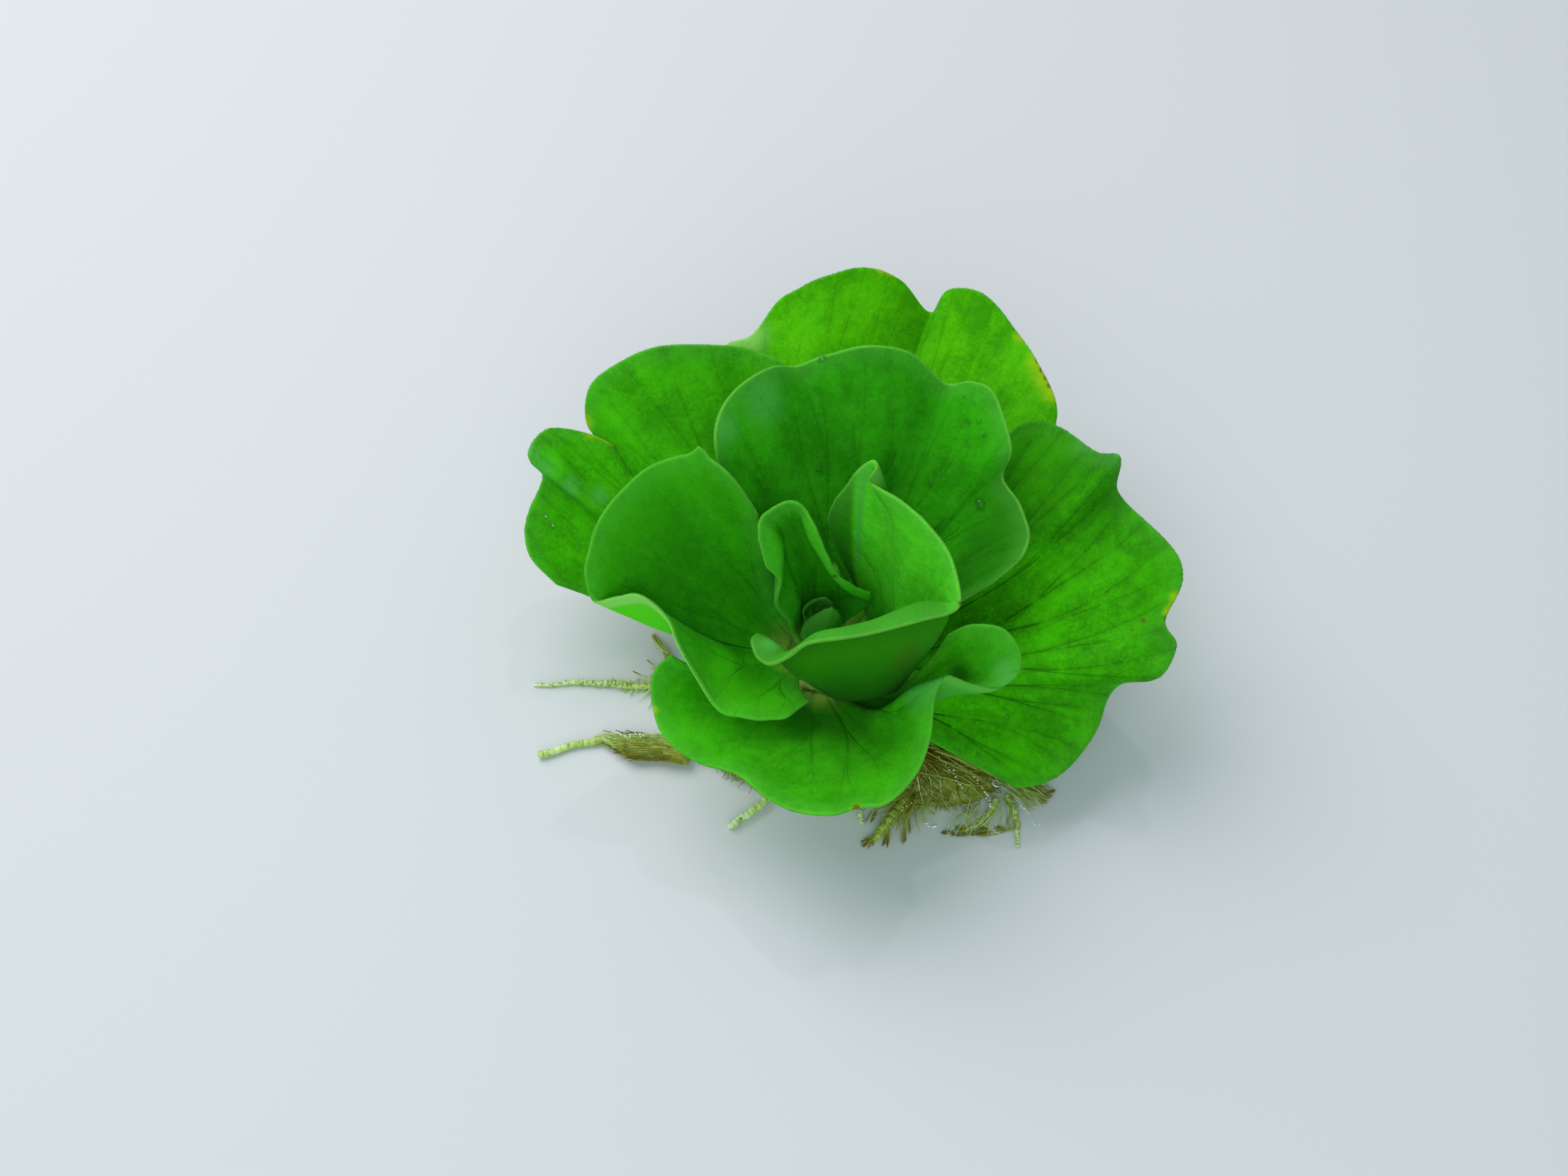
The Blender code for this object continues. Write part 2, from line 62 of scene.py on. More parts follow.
# Each leaf as in the solids: base (azimuth, half spread, reach, height), the inner points of its
# first side, midrib and last side, and its margin, clockwise seen from above, as (azimuth, reach,
# height); the place of the apical notch in the margin; and how far in the margin's waves run.
# Swells push the sheet towards its underside: (across, out, wide, long, height).
LEAVES = {
    "leaf_back": {
        "base": (77, 35, 5.0, 5.0),
        "sides": (((118, 12, 7.5), (117, 21, 10.5)), ((34, 12, 6.8), (35, 20, 9.8))),
        "midrib": ((76, 15, 10), (73, 27, 16)),
        "margin": (
            (113, 30, 13), (107, 34.5, 16.5), (102, 33.2, 19.5), (96, 35.5, 22), (90, 35.5, 24.5),
            (83, 37, 25), (77, 37.5, 23.5), (71.5, 37.2, 19.8), (69.5, 39, 22), (64.5, 39.8, 22),
            (58, 38, 21), (50, 35.5, 20), (43, 33, 18.5), (38, 28, 13.8),
        ),
        "tip": 7,
        "ruffle": 1.6,
    },
    "leaf_right": {
        "base": (-3, 38, 4.8, 5.8),
        "sides": (((42, 10, 9.6), (45, 16, 13.2)), ((-41, 10, 6.4), (-39, 16, 6.8))),
        "midrib": ((-3, 14, 9), (-3, 24, 13)),
        "margin": (
            (47, 22, 17), (44, 28, 20.7), (38.5, 30.3, 21), (29.4, 30.9, 21.6), (23.5, 31.3, 24),
            (21.5, 31, 20.5), (15, 32, 20), (8, 33.8, 20), (2.5, 34.3, 19), (-3, 32.6, 17),
            (-8, 33.6, 17), (-12, 32.4, 15), (-10.5, 29.5, 12), (-12.5, 28.3, 10), (-17, 28, 8.7),
            (-24, 27, 7), (-31, 25.3, 6), (-36, 23, 6),
        ),
        "tip": 9,
        "ruffle": 2.0,
    },
    "leaf_left": {
        "base": (138, 42, 4.5, 6.6),
        "sides": (((172, 9.5, 6.9), (166, 16, 6.8), (164, 22.5, 8.6)), ((95, 10, 10.5), (92, 16, 14.5))),
        "midrib": ((138, 13, 9), (137, 21, 12)),
        "margin": (
            (166, 27, 11.3), (164, 29.7, 13.3), (160, 31.2, 14), (155.5, 31.8, 15), (149.5, 32.2, 16.3),
            (150, 33.4, 19), (144.5, 34.5, 18.5), (140.7, 33.6, 17.5), (137, 29.5, 15), (135.5, 33.2, 16),
            (133, 34.6, 18.6), (128.5, 34.8, 20), (122, 33, 22), (114, 30.7, 23), (104, 29, 22),
            (97, 26.3, 21.5), (92, 21.5, 17.5),
        ),
        "tip": 8,
        "ruffle": 2.0,
    },
    "leaf_front": {
        "base": (-81, 44, 4.3, 7.4),
        "sides": (((-34, 8.2, 8.6), (-18, 10.8, 11.8)), ((-143, 8, 8.6), (-159, 11.5, 11.4))),
        "midrib": ((-81, 9, 8.8), (-81, 15, 11.2)),
        "margin": (
            (-10, 12.2, 15.2), (-9, 14.4, 17.3), (-9, 17.3, 17.3), (-14, 19.4, 16), (-19, 19.6, 15),
            (-25, 18.2, 14.6), (-29.5, 16.2, 15.8), (-35.5, 14.2, 17.8), (-43, 14.3, 16.5),
            (-53, 16.6, 15), (-64, 19.2, 15), (-74, 20.9, 15), (-81, 20.5, 14.4), (-88, 21.3, 15),
            (-97, 20.6, 14), (-106, 19.1, 13), (-117, 17.4, 12), (-130, 18.4, 12), (-142, 18.9, 13),
            (-154.5, 17.8, 13.4), (-162, 16.6, 13.8), (-164.8, 14.7, 14.4),
        ),
        "tip": 12,
        "ruffle": 1.6,
        "swells": ((0.28, 0.72, 0.11, 0.25, -2.2),),
    },
    "leaf_centre_back": {
        "base": (59, 44, 3.8, 8.2),
        "sides": (((118, 5.8, 13), (132, 8.6, 19)), ((9, 8, 10.2), (7, 12.5, 14.2))),
        "midrib": ((58, 9, 13), (58, 15.5, 19)),
        "margin": (
            (138, 11.5, 24.5), (136.5, 13.5, 28), (130, 15.3, 30), (119, 17, 31), (104, 19.3, 30),
            (97, 19.8, 29), (90, 20, 30), (78, 20, 32), (67.5, 21.4, 31), (58, 22.8, 27),
            (52, 23.7, 28), (45, 23.7, 28), (34, 21.8, 26), (32, 20.7, 23), (23, 20.8, 22),
            (15, 20.5, 21), (10, 19.2, 20), (7.5, 16.5, 17.8),
        ),
        "tip": 9,
        "ruffle": 1.8,
    },
    "leaf_left_front": {
        "base": (-173, 48, 3.5, 9.0),
        "sides": (((-112, 5.2, 9.8),), ((137, 5.4, 14.5), (141, 6.9, 20))),
        "midrib": ((-172, 9, 12), (-172, 15, 16.5)),
        "margin": (
            (-99, 7.2, 11.4), (-108, 9.6, 12), (-116, 11, 12.4), (-126, 12.4, 13), (-134, 13.7, 14),
            (-146, 13.8, 16), (-157, 14.4, 19), (-164, 14.8, 21), (-170, 16.8, 23), (-172, 19, 22.5),
            (-173, 21.3, 21.8), (-177.5, 21.8, 24), (179, 21.4, 25.5), (174, 20.8, 27),
            (168, 19.7, 28), (159, 18.1, 29), (151, 16.5, 29.3), (145.5, 13.8, 30.1), (144, 10.4, 29.4),
            (142, 7.5, 25.2),
        ),
        "tip": 10,
        "ruffle": 1.6,
    },
    "leaf_inner_right": {
        "base": (-40, 42, 3.8, 9.2),
        "sides": (
            ((28, 5.4, 11), (46, 5.5, 12.8)),
            ((-92, 5.4, 10.4), (-113, 5.2, 13), (-124, 6.8, 16.8)),
        ),
        "midrib": ((-34, 8.2, 11.2), (-31, 11.0, 18.5)),
        "margin": (
            (58, 5.6, 15.5), (75, 5.9, 18.7), (84, 6.3, 22), (80, 6.3, 25), (71, 6.2, 27.6),
            (60, 6.5, 30.8), (49, 6.7, 32.8), (38, 6.4, 32.8), (12.7, 7.2, 31.5), (-1, 8.8, 31),
            (-11, 10.8, 30), (-19.5, 12.3, 29), (-29.3, 13.9, 27.5), (-34, 13.5, 26.4), (-43, 11.9, 26),
            (-61, 10.2, 25.5), (-83, 9.4, 25), (-100, 9.3, 24), (-109, 10.1, 22.5), (-117, 11, 21.5),
            (-125, 10.7, 21), (-134, 9.6, 20.8), (-141, 7.9, 19.6),
        ),
        "tip": 12,
        "ruffle": 1.6,
        "swells": ((0.74, 0.4, 0.15, 0.3, 1.2), (0.14, 0.6, 0.18, 0.35, 1.2)),
    },
    "leaf_inner_left": {
        "base": (108, 62, 2.5, 10.8),
        "sides": (((-172, 3.4, 14), (-168, 4.5, 18)), ((28, 3.8, 12.8), (21, 5.1, 14.8))),
        "midrib": ((108, 3.9, 16), (112, 5.1, 22)),
        "margin": (
            (-178, 5.3, 23.5), (168, 6.2, 26), (156, 6.4, 27.2), (144, 5.6, 28), (129, 4.8, 28.5),
            (115, 3.7, 28), (99, 2.3, 26.3), (72, 1.9, 23.3), (42, 2.2, 20.4), (25, 3.6, 18.4),
            (18, 5.0, 17.2),
        ),
        "tip": 4,
        "ruffle": 1.6,
    },
    "bud_leaf_front": {
        "base": (-75, 70, 1.6, 12.6),
        "sides": (((-2, 1.9, 13.6),), ((-152, 2.1, 13.6),)),
        "midrib": ((-75, 2.3, 14.2),),
        "margin": (
            (-12, 2.1, 14.6), (-7, 1.8, 16.0), (-9, 1.0, 17.0), (-150, 0.6, 16.1), (-160, 1.6, 15.0),
            (-151, 2.1, 14.3),
        ),
        "tip": 2,
        "ruffle": 1.4,
    },
    "bud_leaf_back": {
        "base": (95, 55, 1.5, 12.8),
        "sides": (((150, 1.8, 13.8),), ((46, 1.6, 13.8),)),
        "midrib": ((95, 1.7, 14.4),),
        "margin": (
            (158, 1.9, 14.8), (146, 1.7, 15.8), (110, 1.2, 16.5), (66, 1.3, 16.7), (44, 1.6, 15.8),
            (42, 1.6, 14.9),
        ),
        "tip": 3,
        "ruffle": 1.4,
    },
}

# How each leaf is finished. dark and bright are the two greens of its mottling and under the green
# of its underside, veins is how many main veins it has and vein_dark how dark they are, with painted
# shade in their grooves as well as their own darker green, net how clear the mesh of small veins is,
# down_and_sheen how pale its downy edge band is, from the down's own pale green and painted sheen,
# and rim how pale its very edge is, under_band the pale band of its underside along the margin (full
# to, gone at, strength), under_painted_shade how much painted shade darkens the underside towards the
# base, and outer_light_and_shade how much painted shade (below 1) or painted light (above 1) falls on
# its outer part. pushes move the fine sheet near one place, to roll a rim or shape a tip: (across,
# out, wide, long, (x, y, z)). marks are spots: (kind, across, out, radius). zones are larger patches:
# (kind, across from and to, out from and to, lean, softness, strength). Of the kinds, light is
# painted light, dark is painted shade and painted_sheen is a painted bluish sheen with some painted
# shade; pale, yellow and brown are the leaf's own pale patches and aged spots.
FINISH = {
    "leaf_back": {
        "dark": (0.044, 0.370, 0.001), "bright": (0.110, 0.660, 0.001), "under": (0.10, 0.50, 0.010),
        "veins": 5, "vein_dark": 0.35, "net": 0.15, "down_and_sheen": 0.0, "rim": 0.1, "outer_light_and_shade": 0.78,
        "marks": (
            ("yellow", 0.835, 1.0, 1.3), ("yellow", 0.86, 1.0, 1.5), ("yellow", 0.885, 1.0, 1.4),
            ("yellow", 0.42, 1.0, 0.6), ("yellow", 0.44, 1.0, 0.5), ("yellow", 0.79, 1.0, 0.8),
            ("brown", 0.875, 1.0, 0.50), ("brown", 0.86, 1.0, 0.50), ("brown", 0.845, 1.0, 0.45),
            ("brown", 0.83, 1.0, 0.35), ("brown", 0.775, 1.0, 0.25), ("brown", 0.74, 1.0, 0.2),
            ("pale", 0.15, 1.0, 2.2), ("pale", 0.11, 1.0, 2.8), ("pale", 0.06, 0.98, 2.6),
        ),
    },
    "leaf_right": {
        "dark": (0.027, 0.275, 0.001), "bright": (0.062, 0.540, 0.001), "under": (0.06, 0.38, 0.010),
        "veins": 6, "vein_dark": 0.95, "net": 0.28, "down_and_sheen": 0.1, "rim": 0.15, "outer_light_and_shade": 0.72,
        "marks": (
            ("yellow", 0.495, 1.0, 0.7), ("yellow", 0.515, 1.0, 0.6), ("brown", 0.525, 1.0, 0.35),
            ("brown", 0.52, 0.90, 0.4), ("brown", 0.535, 0.87, 0.3), ("brown", 0.54, 0.85, 0.2),
            ("painted_sheen", 0.20, 1.0, 1.6), ("painted_sheen", 0.16, 1.0, 1.2), ("painted_sheen", 0.24, 1.0, 1.2),
        ),
        "zones": (("dark", (-1.0, 0.24), (0.25, 2.0), 0.0, 0.16, 0.45),),
    },
    "leaf_left": {
        "dark": (0.026, 0.260, 0.001), "bright": (0.056, 0.460, 0.002), "under": (0.06, 0.38, 0.010),
        "veins": 5, "vein_dark": 0.6, "net": 0.2, "down_and_sheen": 0.15, "rim": 0.2,
        "pushes": (
            (0.475, 1.0, 0.028, 0.14, (0.85, 0.7, 0.5)), (0.500, 1.0, 0.020, 0.10, (0.6, 0.5, -0.9)),
        ),
        "marks": (
            ("yellow", 0.465, 1.0, 0.7), ("yellow", 0.475, 0.99, 0.5), ("yellow", 0.485, 0.99, 0.4),
            ("yellow", 0.497, 0.98, 0.4), ("yellow", 0.570, 1.0, 0.9), ("brown", 0.47, 1.0, 0.2),
            ("light", 0.33, 0.93, 2.2), ("painted_sheen", 0.32, 1.0, 1.3), ("painted_sheen", 0.31, 0.93, 1.3),
            ("painted_sheen", 0.32, 0.84, 1.1), ("painted_sheen", 0.35, 0.76, 1.0),
        ),
    },
    "leaf_front": {
        "dark": (0.030, 0.320, 0.003), "bright": (0.060, 0.500, 0.006), "under": (0.06, 0.40, 0.030),
        "veins": 5, "vein_dark": 0.08, "net": 0.05, "down_and_sheen": 0.2, "rim": 0.25,
        "marks": (
            ("brown", 0.575, 1.0, 0.50), ("yellow", 0.575, 1.0, 0.5), ("yellow", 0.885, 1.0, 0.5),
            ("brown", 0.89, 1.0, 0.22), ("painted_sheen", 0.35, 0.93, 1.6), ("painted_sheen", 0.36, 0.80, 1.6),
            ("painted_sheen", 0.24, 0.93, 1.3), ("painted_sheen", 0.20, 0.95, 1.3), ("painted_sheen", 0.29, 0.96, 1.2),
            ("painted_sheen", 0.16, 0.90, 1.2), ("dark", 0.12, 0.70, 1.3), ("dark", 0.20, 0.62, 1.1),
        ),
        "zones": (("dark", (-1.0, 2.0), (-1.0, 0.42), 0.0, 0.30, 0.75),),
    },
    "leaf_centre_back": {
        "dark": (0.015, 0.210, 0.002), "bright": (0.035, 0.395, 0.005), "under": (0.05, 0.33, 0.020),
        "veins": 6, "vein_dark": 0.3, "net": 0.1, "down_and_sheen": 0.25, "rim": 0.6, "outer_light_and_shade": 1.08,
        "marks": (("dark", 0.05, 0.55, 4.0), ("painted_sheen", 0.20, 0.90, 2.4), ("painted_sheen", 0.12, 0.95, 1.6)),
        "zones": (("dark", (0.74, 2.0), (-1.0, 2.0), -0.25, 0.16, 0.95),),
    },
    "leaf_left_front": {
        "dark": (0.015, 0.210, 0.002), "bright": (0.032, 0.350, 0.003), "under": (0.090, 0.68, 0.008),
        "veins": 5, "vein_dark": 0.12, "net": 0.05, "down_and_sheen": 0.2, "rim": 0.25,
        "under_band": (0.9, 1.5, 0.9), "outer_light_and_shade": 1.2,
        "pushes": ((0.897, 1.0, 0.010, 0.04, (0.05, 0.45, 0.80)),),
        "marks": (("light", 0.20, 0.75, 4.0), ("light", 0.10, 0.75, 3.5), ("light", 0.28, 0.6, 2.5)),
        "zones": (("dark", (0.52, 0.86), (-1.0, 0.93), 0.0, 0.16, 0.4),),
    },
    "leaf_inner_right": {
        # Its underside green is darkened with painted shade.
        "dark": (0.056, 0.450, 0.010), "bright": (0.100, 0.680, 0.018), "under": (0.016, 0.165, 0.001),
        "veins": 4, "vein_dark": 0.05, "net": 0.0, "down_and_sheen": 0.25, "rim": 0.45, "under_painted_shade": 0.35,
        "marks": (
            ("brown", 0.55, 1.0, 0.3), ("brown", 0.44, 0.55, 0.9), ("brown", 0.47, 0.65, 0.7),
            ("painted_sheen", 0.93, 0.88, 1.2),
        ),
        "zones": (
            ("dark", (-1.0, 0.225), (-1.0, 2.0), 0.45, 0.05, 0.85),
            ("painted_sheen", (0.235, 0.262), (0.70, 2.0), 0.45, 0.035, 0.9),
            ("dark", (0.57, 2.0), (0.82, 2.0), 0.0, 0.10, 0.74),
            ("dark", (0.84, 2.0), (0.70, 2.0), 0.0, 0.10, 0.90),
            ("dark", (-1.0, 2.0), (-1.0, 0.50), 0.0, 0.30, 0.55),
            ("dark", (0.30, 0.42), (-1.0, 0.85), 0.0, 0.14, 0.25),
            ("brown", (0.60, 0.69), (0.50, 0.80), 0.0, 0.12, 0.56),
        ),
        "pushes": (
            (0.338, 1.0, 0.017, 0.12, (-1.6, 0.8, -0.9)),
            (0.75, 0.88, 0.16, 0.08, (0.0, 1.2, 1.0)), (0.62, 0.88, 0.07, 0.08, (-0.5, 1.0, 1.1)),
            (0.92, 0.86, 0.07, 0.12, (0.6, 0.5, 0.8)),
        ),
    },
    "leaf_inner_left": {
        "dark": (0.026, 0.280, 0.003), "bright": (0.050, 0.440, 0.007), "under": (0.02, 0.17, 0.003),
        "veins": 3, "vein_dark": 0.1, "net": 0.0, "down_and_sheen": 0.2, "rim": 0.25,
        "marks": (("brown", 0.80, 0.90, 0.35), ("pale", 0.78, 0.78, 0.7), ),
        "zones": (
            ("dark", (0.28, 0.60), (-1.0, 0.88), 0.0, 0.16, 0.35),
            ("light", (-1.0, 0.22), (0.30, 2.0), 0.0, 0.12, 0.25),
            ("light", (0.55, 2.0), (0.82, 2.0), 0.0, 0.10, 0.55),
        ),
        "pushes": (
            (0.10, 0.80, 0.14, 0.14, (1.5, 0.0, 1.0)), (0.65, 0.84, 0.20, 0.12, (-1.3, -0.3, 0.8)),
            (0.10, 0.35, 0.13, 0.20, (0.9, 0.0, 0.5)), (0.88, 0.84, 0.12, 0.12, (0.0, -1.1, 0.2)),
        ),
    },
    "bud_leaf_front": {
        "dark": (0.022, 0.190, 0.008), "bright": (0.040, 0.300, 0.014), "under": (0.03, 0.24, 0.010),
        "veins": 3, "vein_dark": 0.1, "net": 0.0, "down_and_sheen": 0.2, "rim": 0.1,
    },
    "bud_leaf_back": {
        "dark": (0.022, 0.190, 0.008), "bright": (0.040, 0.300, 0.014), "under": (0.03, 0.24, 0.010),
        "veins": 3, "vein_dark": 0.1, "net": 0.0, "down_and_sheen": 0.2, "rim": 0.1,
    },
}
PALE_EDGE = (0.150, 0.480, 0.050)
# The downy edge band: the down's own pale green with painted sheen.
DOWN_AND_SHEEN_GREEN = (0.110, 0.420, 0.060)
BASE_CREAM = (0.340, 0.440, 0.070)
PALE_PATCH = (0.280, 0.680, 0.130)
# Colours of painted light, painted shade and a painted bluish sheen for the marked patches.
PAINTED_LIGHT_GREEN = (0.090, 0.720, 0.006)
PAINTED_SHADE_GREEN = (0.008, 0.110, 0.002)
PAINTED_SHEEN_GREEN = (0.078, 0.410, 0.062)
YELLOW = (0.290, 0.490, 0.006)
BROWN = (0.100, 0.060, 0.006)
MARK_KINDS = ("light", "dark", "painted_sheen", "pale", "yellow", "brown")

# A leaf's foot runs from its base in to the crown: how many rows, and how far it goes down.
FOOT_ROWS = 6
FOOT_DROP = 1.5
CROWN_REACH = ((4.2, 5.8, 7.6, 9.6, 11.4, 12.4), (3.1, 3.3, 2.6, 1.9, 1.1, 0.5))

# Roots. An axis runs through (x, y) from the tip inwards, with its radius and tone at tip and base,
# and stubs: how many short side roots, and their length near the tip and near the base. A tone is
# 0 for pale green and 1 for dark brown. A brush is a bundle of thin roots: the middle of its tips,
# the middle of its bases, how many, how far the tips and the bases spread, the radius of one, and
# the tone at tip and base.
ROOTS = {
    "root_left_thin": {
        "axis": ((-29.3, 1.6), (-24, 1.9), (-19.5, 1.5), (-14.0, 1.1)),
        "radius": (0.12, 0.36), "tone": (0.02, 0.14), "stubs": (230, 0.03, 0.80),
        "brushes": (
            ((-19.1, 3.0, 0.8), (-17.0, 1.7, 0.7), 1, 0, 0, 0.075, 0.95, 0.1),
            ((-18.2, 0.0, 0.3), (-17.0, 1.1, 0.6), 2, 0.15, 0.1, 0.06, 0.0, 0.1),
            ((-19.5, 0.6, 0.3), (-18.7, 1.4, 0.5), 2, 0.2, 0.2, 0.055, 0.0, 0.1),
            ((-17.3, -0.8, 0.3), (-16.2, 0.9, 0.6), 3, 0.3, 0.2, 0.06, 0.0, 0.15),
            ((-17.6, 2.7, 0.6), (-16.6, 1.5, 0.7), 4, 0.5, 0.3, 0.06, 0.5, 0.15),
            ((-16.0, 3.0, 0.6), (-14.9, 1.5, 0.7), 5, 0.7, 0.3, 0.06, 0.6, 0.15),
        ),
    },
    "root_left_thick": {
        "axis": ((-28.0, -6.8), (-25.0, -5.7), (-22.0, -5.1), (-19.0, -5.6), (-13.0, -6.4)),
        "radius": (0.36, 0.36), "tone": (0.08, 0.2), "stubs": (70, 0.06, 0.25), "bulb": 0.44,
        "sleeve": ((-22.9, -4.9, 0.30), (-21.4, -4.9, 0.62), (-19.6, -5.5, 1.0), (-18.6, -6.0, 1.35),
                   (-16.0, -6.2, 1.40), (-12.9, -6.6, 1.45)),
    },
    "root_left_back": {
        "brushes": (
            ((-17.2, 7.7, 0.3), (-15.4, 4.6, 0.9), 22, 0.09, 0.26, 0.080, 0.50, 0.16),
            ((-16.6, 6.2, 0.5), (-15.3, 4.6, 0.9), 7, 0.25, 0.3, 0.06, 0.7, 0.30),
            ((-17.7, 4.4, 0.6), (-16.6, 3.4, 0.7), 2, 0.08, 0.1, 0.07, 0.75, 0.3),
        ),
    },
    "root_front": {
        "axis": ((-8.9, -14.8), (-6.6, -13.0), (-5.0, -11.6)),
        "radius": (0.30, 0.38), "tone": (0.06, 0.1), "stubs": (12, 0.05, 0.15),
        "brushes": (((-8.0, -14.3, 0.5), (-7.5, -13.9, 0.6), 3, 0.15, 0.1, 0.06, 0.9, 0.7),),
    },
    "root_front_stub": {
        "axis": ((4.1, -14.3), (4.0, -12.9)),
        "radius": (0.19, 0.22), "tone": (0.08, 0.05), "stubs": (0, 0, 0),
        "brushes": (
            ((4.5, -14.2, 0.2), (5.1, -13.1, 0.4), 1, 0, 0, 0.10, 0.8, 0.5),
            ((5.2, -14.2, 0.2), (5.5, -13.1, 0.4), 2, 0.1, 0.1, 0.10, 0.8, 0.5),
        ),
    },
    "root_tuft_front": {
        "axis": ((5.2, -16.2), (6.3, -14.9), (7.6, -13.4), (8.9, -11.9)),
        "radius": (0.20, 0.75), "tone": (0.22, 0.30), "stubs": (40, 0.1, 0.3),
        "brushes": (
            ((4.2, -16.8, 0.25), (5.4, -16.0, 0.4), 9, 0.35, 0.12, 0.085, 0.80, 0.4),
            ((6.4, -16.8, 0.25), (6.7, -15.0, 0.5), 6, 0.18, 0.15, 0.085, 0.85, 0.25),
            ((8.2, -16.4, 0.25), (8.1, -13.9, 0.7), 6, 0.15, 0.25, 0.08, 0.75, 0.25),
            ((8.8, -15.4, 0.25), (8.7, -13.5, 0.7), 2, 0.06, 0.1, 0.07, 0.85, 0.5),
            ((6.9, -14.3, 0.9), (9.3, -12.0, 1.5), 34, 0.9, 0.7, 0.06, 0.35, 0.45),
            ((9.8, -13.9, 0.4), (10.6, -12.0, 1.2), 20, 0.9, 0.9, 0.05, 0.15, 0.35),
        ),
    },
    "root_tuft_right": {
        "axis": ((13.6, -15.1), (14.7, -14.9), (15.9, -14.1), (16.9, -12.8), (17.4, -11.8)),
        "radius": (0.10, 0.30), "tone": (0.2, 0.14), "stubs": (24, 0.1, 0.3),
        "brushes": (
            ((15.8, -14.9, 0.3), (17.9, -12.4, 0.8), 9, 0.7, 0.5, 0.05, 0.15, 0.2),
            ((14.2, -14.6, 0.3), (15.0, -12.6, 0.9), 16, 1.1, 1.1, 0.04, 0.05, 0.25),
            ((12.0, -15.4, 0.2), (13.0, -15.3, 0.25), 4, 0.12, 0.1, 0.08, 0.75, 0.6),
            ((13.1, -15.6, 0.2), (14.2, -15.5, 0.25), 5, 0.14, 0.1, 0.08, 0.75, 0.6),
            ((13.2, -14.9, 0.3), (14.2, -14.9, 0.3), 4, 0.14, 0.1, 0.08, 0.75, 0.5),
            ((14.6, -15.4, 0.2), (15.6, -15.3, 0.25), 4, 0.12, 0.1, 0.08, 0.7, 0.6),
            ((15.5, -15.5, 0.2), (16.5, -15.4, 0.25), 5, 0.12, 0.1, 0.08, 0.75, 0.6),
            ((15.6, -14.8, 0.3), (16.4, -14.9, 0.3), 4, 0.15, 0.1, 0.08, 0.7, 0.5),
            ((17.2, -14.8, 0.25), (18.1, -15.0, 0.25), 4, 0.14, 0.1, 0.08, 0.75, 0.5),
            ((14.0, -15.6, 0.15), (18.9, -14.9, 0.3), 4, 0.10, 0.15, 0.045, 0.6, 0.3),
        ),
    },
    "root_pale_tip": {
        "axis": ((19.2, -16.9), (19.3, -14.9), (19.2, -13.4), (18.6, -11.2)),
        "radius": (0.17, 0.26), "tone": (0.0, 0.22), "stubs": (70, 0.05, 0.4),
        "brushes": (((18.5, -14.2, 0.3), (18.7, -12.6, 0.6), 5, 0.4, 0.3, 0.05, 0.5, 0.15),),
    },
    "root_right": {
        "brushes": (
            ((21.8, -11.8, 0.3), (19.0, -9.9, 1.0), 22, 0.55, 0.5, 0.06, 0.28, 0.20),
            ((22.6, -10.9, 0.3), (19.5, -9.2, 0.9), 16, 0.35, 0.5, 0.055, 0.5, 0.25),
            ((20.9, -12.5, 0.3), (18.9, -10.6, 0.9), 12, 0.35, 0.4, 0.055, 0.3, 0.20),
            ((23.3, -10.7, 0.25), (22.5, -11.0, 0.3), 4, 0.12, 0.15, 0.08, 0.7, 0.6),
            ((22.3, -12.0, 0.25), (21.7, -11.6, 0.3), 4, 0.15, 0.12, 0.08, 0.8, 0.5),
            ((23.0, -11.5, 0.25), (22.2, -11.3, 0.3), 3, 0.12, 0.12, 0.07, 0.7, 0.5),
        ),
    },
}

# The felt's fine body and fibres. Its reach and height are those of the solid mound.
MAT_REACH = (17.5, 15.0, 14.5, 15.5, 15.0, 14.0, 13.5, 14.0, 12.2, 12.0, 14.5, 21.5)
MAT_HEIGHT = 3.6
MAT_FIBRES = 2200
MAT_FIBRE_RINGS = 8
MAT_HAIRS = 1600
PALE_STRANDS = (
    ((15.5, -9.4, 2.5), (11.0, -7.2, 3.3), 5, 0.25, 0.5, 0.09, 0.25, 0.35),
    ((10.2, -12.4, 0.9), (9.6, -10.2, 2.3), 1, 0, 0, 0.07, 0.1, 0.15),
    ((11.1, -12.6, 0.8), (10.8, -10.2, 2.3), 1, 0, 0, 0.07, 0.1, 0.15),
    ((16.8, -10.6, 1.6), (12.0, -8.4, 2.9), 4, 0.6, 0.4, 0.06, 0.2, 0.3),
)

# Water beads: the leaf, the place across and out on it, and the bead's radius.
DROPS = (
    ("leaf_centre_back", 0.355, 0.99, 0.42), ("leaf_centre_back", 0.78, 0.83, 0.50),
    ("leaf_centre_back", 0.63, 0.63, 0.28), ("leaf_centre_back", 0.27, 0.63, 0.34),
    ("leaf_centre_back", 0.62, 0.91, 0.20), ("leaf_centre_back", 0.63, 0.85, 0.24),
    ("leaf_centre_back", 0.65, 0.88, 0.28), ("leaf_centre_back", 0.66, 0.81, 0.22),
    ("leaf_centre_back", 0.59, 0.92, 0.16), ("leaf_centre_back", 0.67, 0.88, 0.20),
    ("leaf_left", 0.18, 0.90, 0.22), ("leaf_left", 0.16, 0.875, 0.20), ("leaf_left", 0.19, 0.93, 0.16),
    ("leaf_left", 0.37, 0.955, 0.22), ("leaf_left", 0.48, 0.97, 0.26),
    ("leaf_left_front", 0.62, 0.80, 0.20), ("leaf_left_front", 0.76, 0.40, 0.22),
    ("leaf_right", 0.84, 0.63, 0.26), ("leaf_right", 0.96, 0.69, 0.24),
)


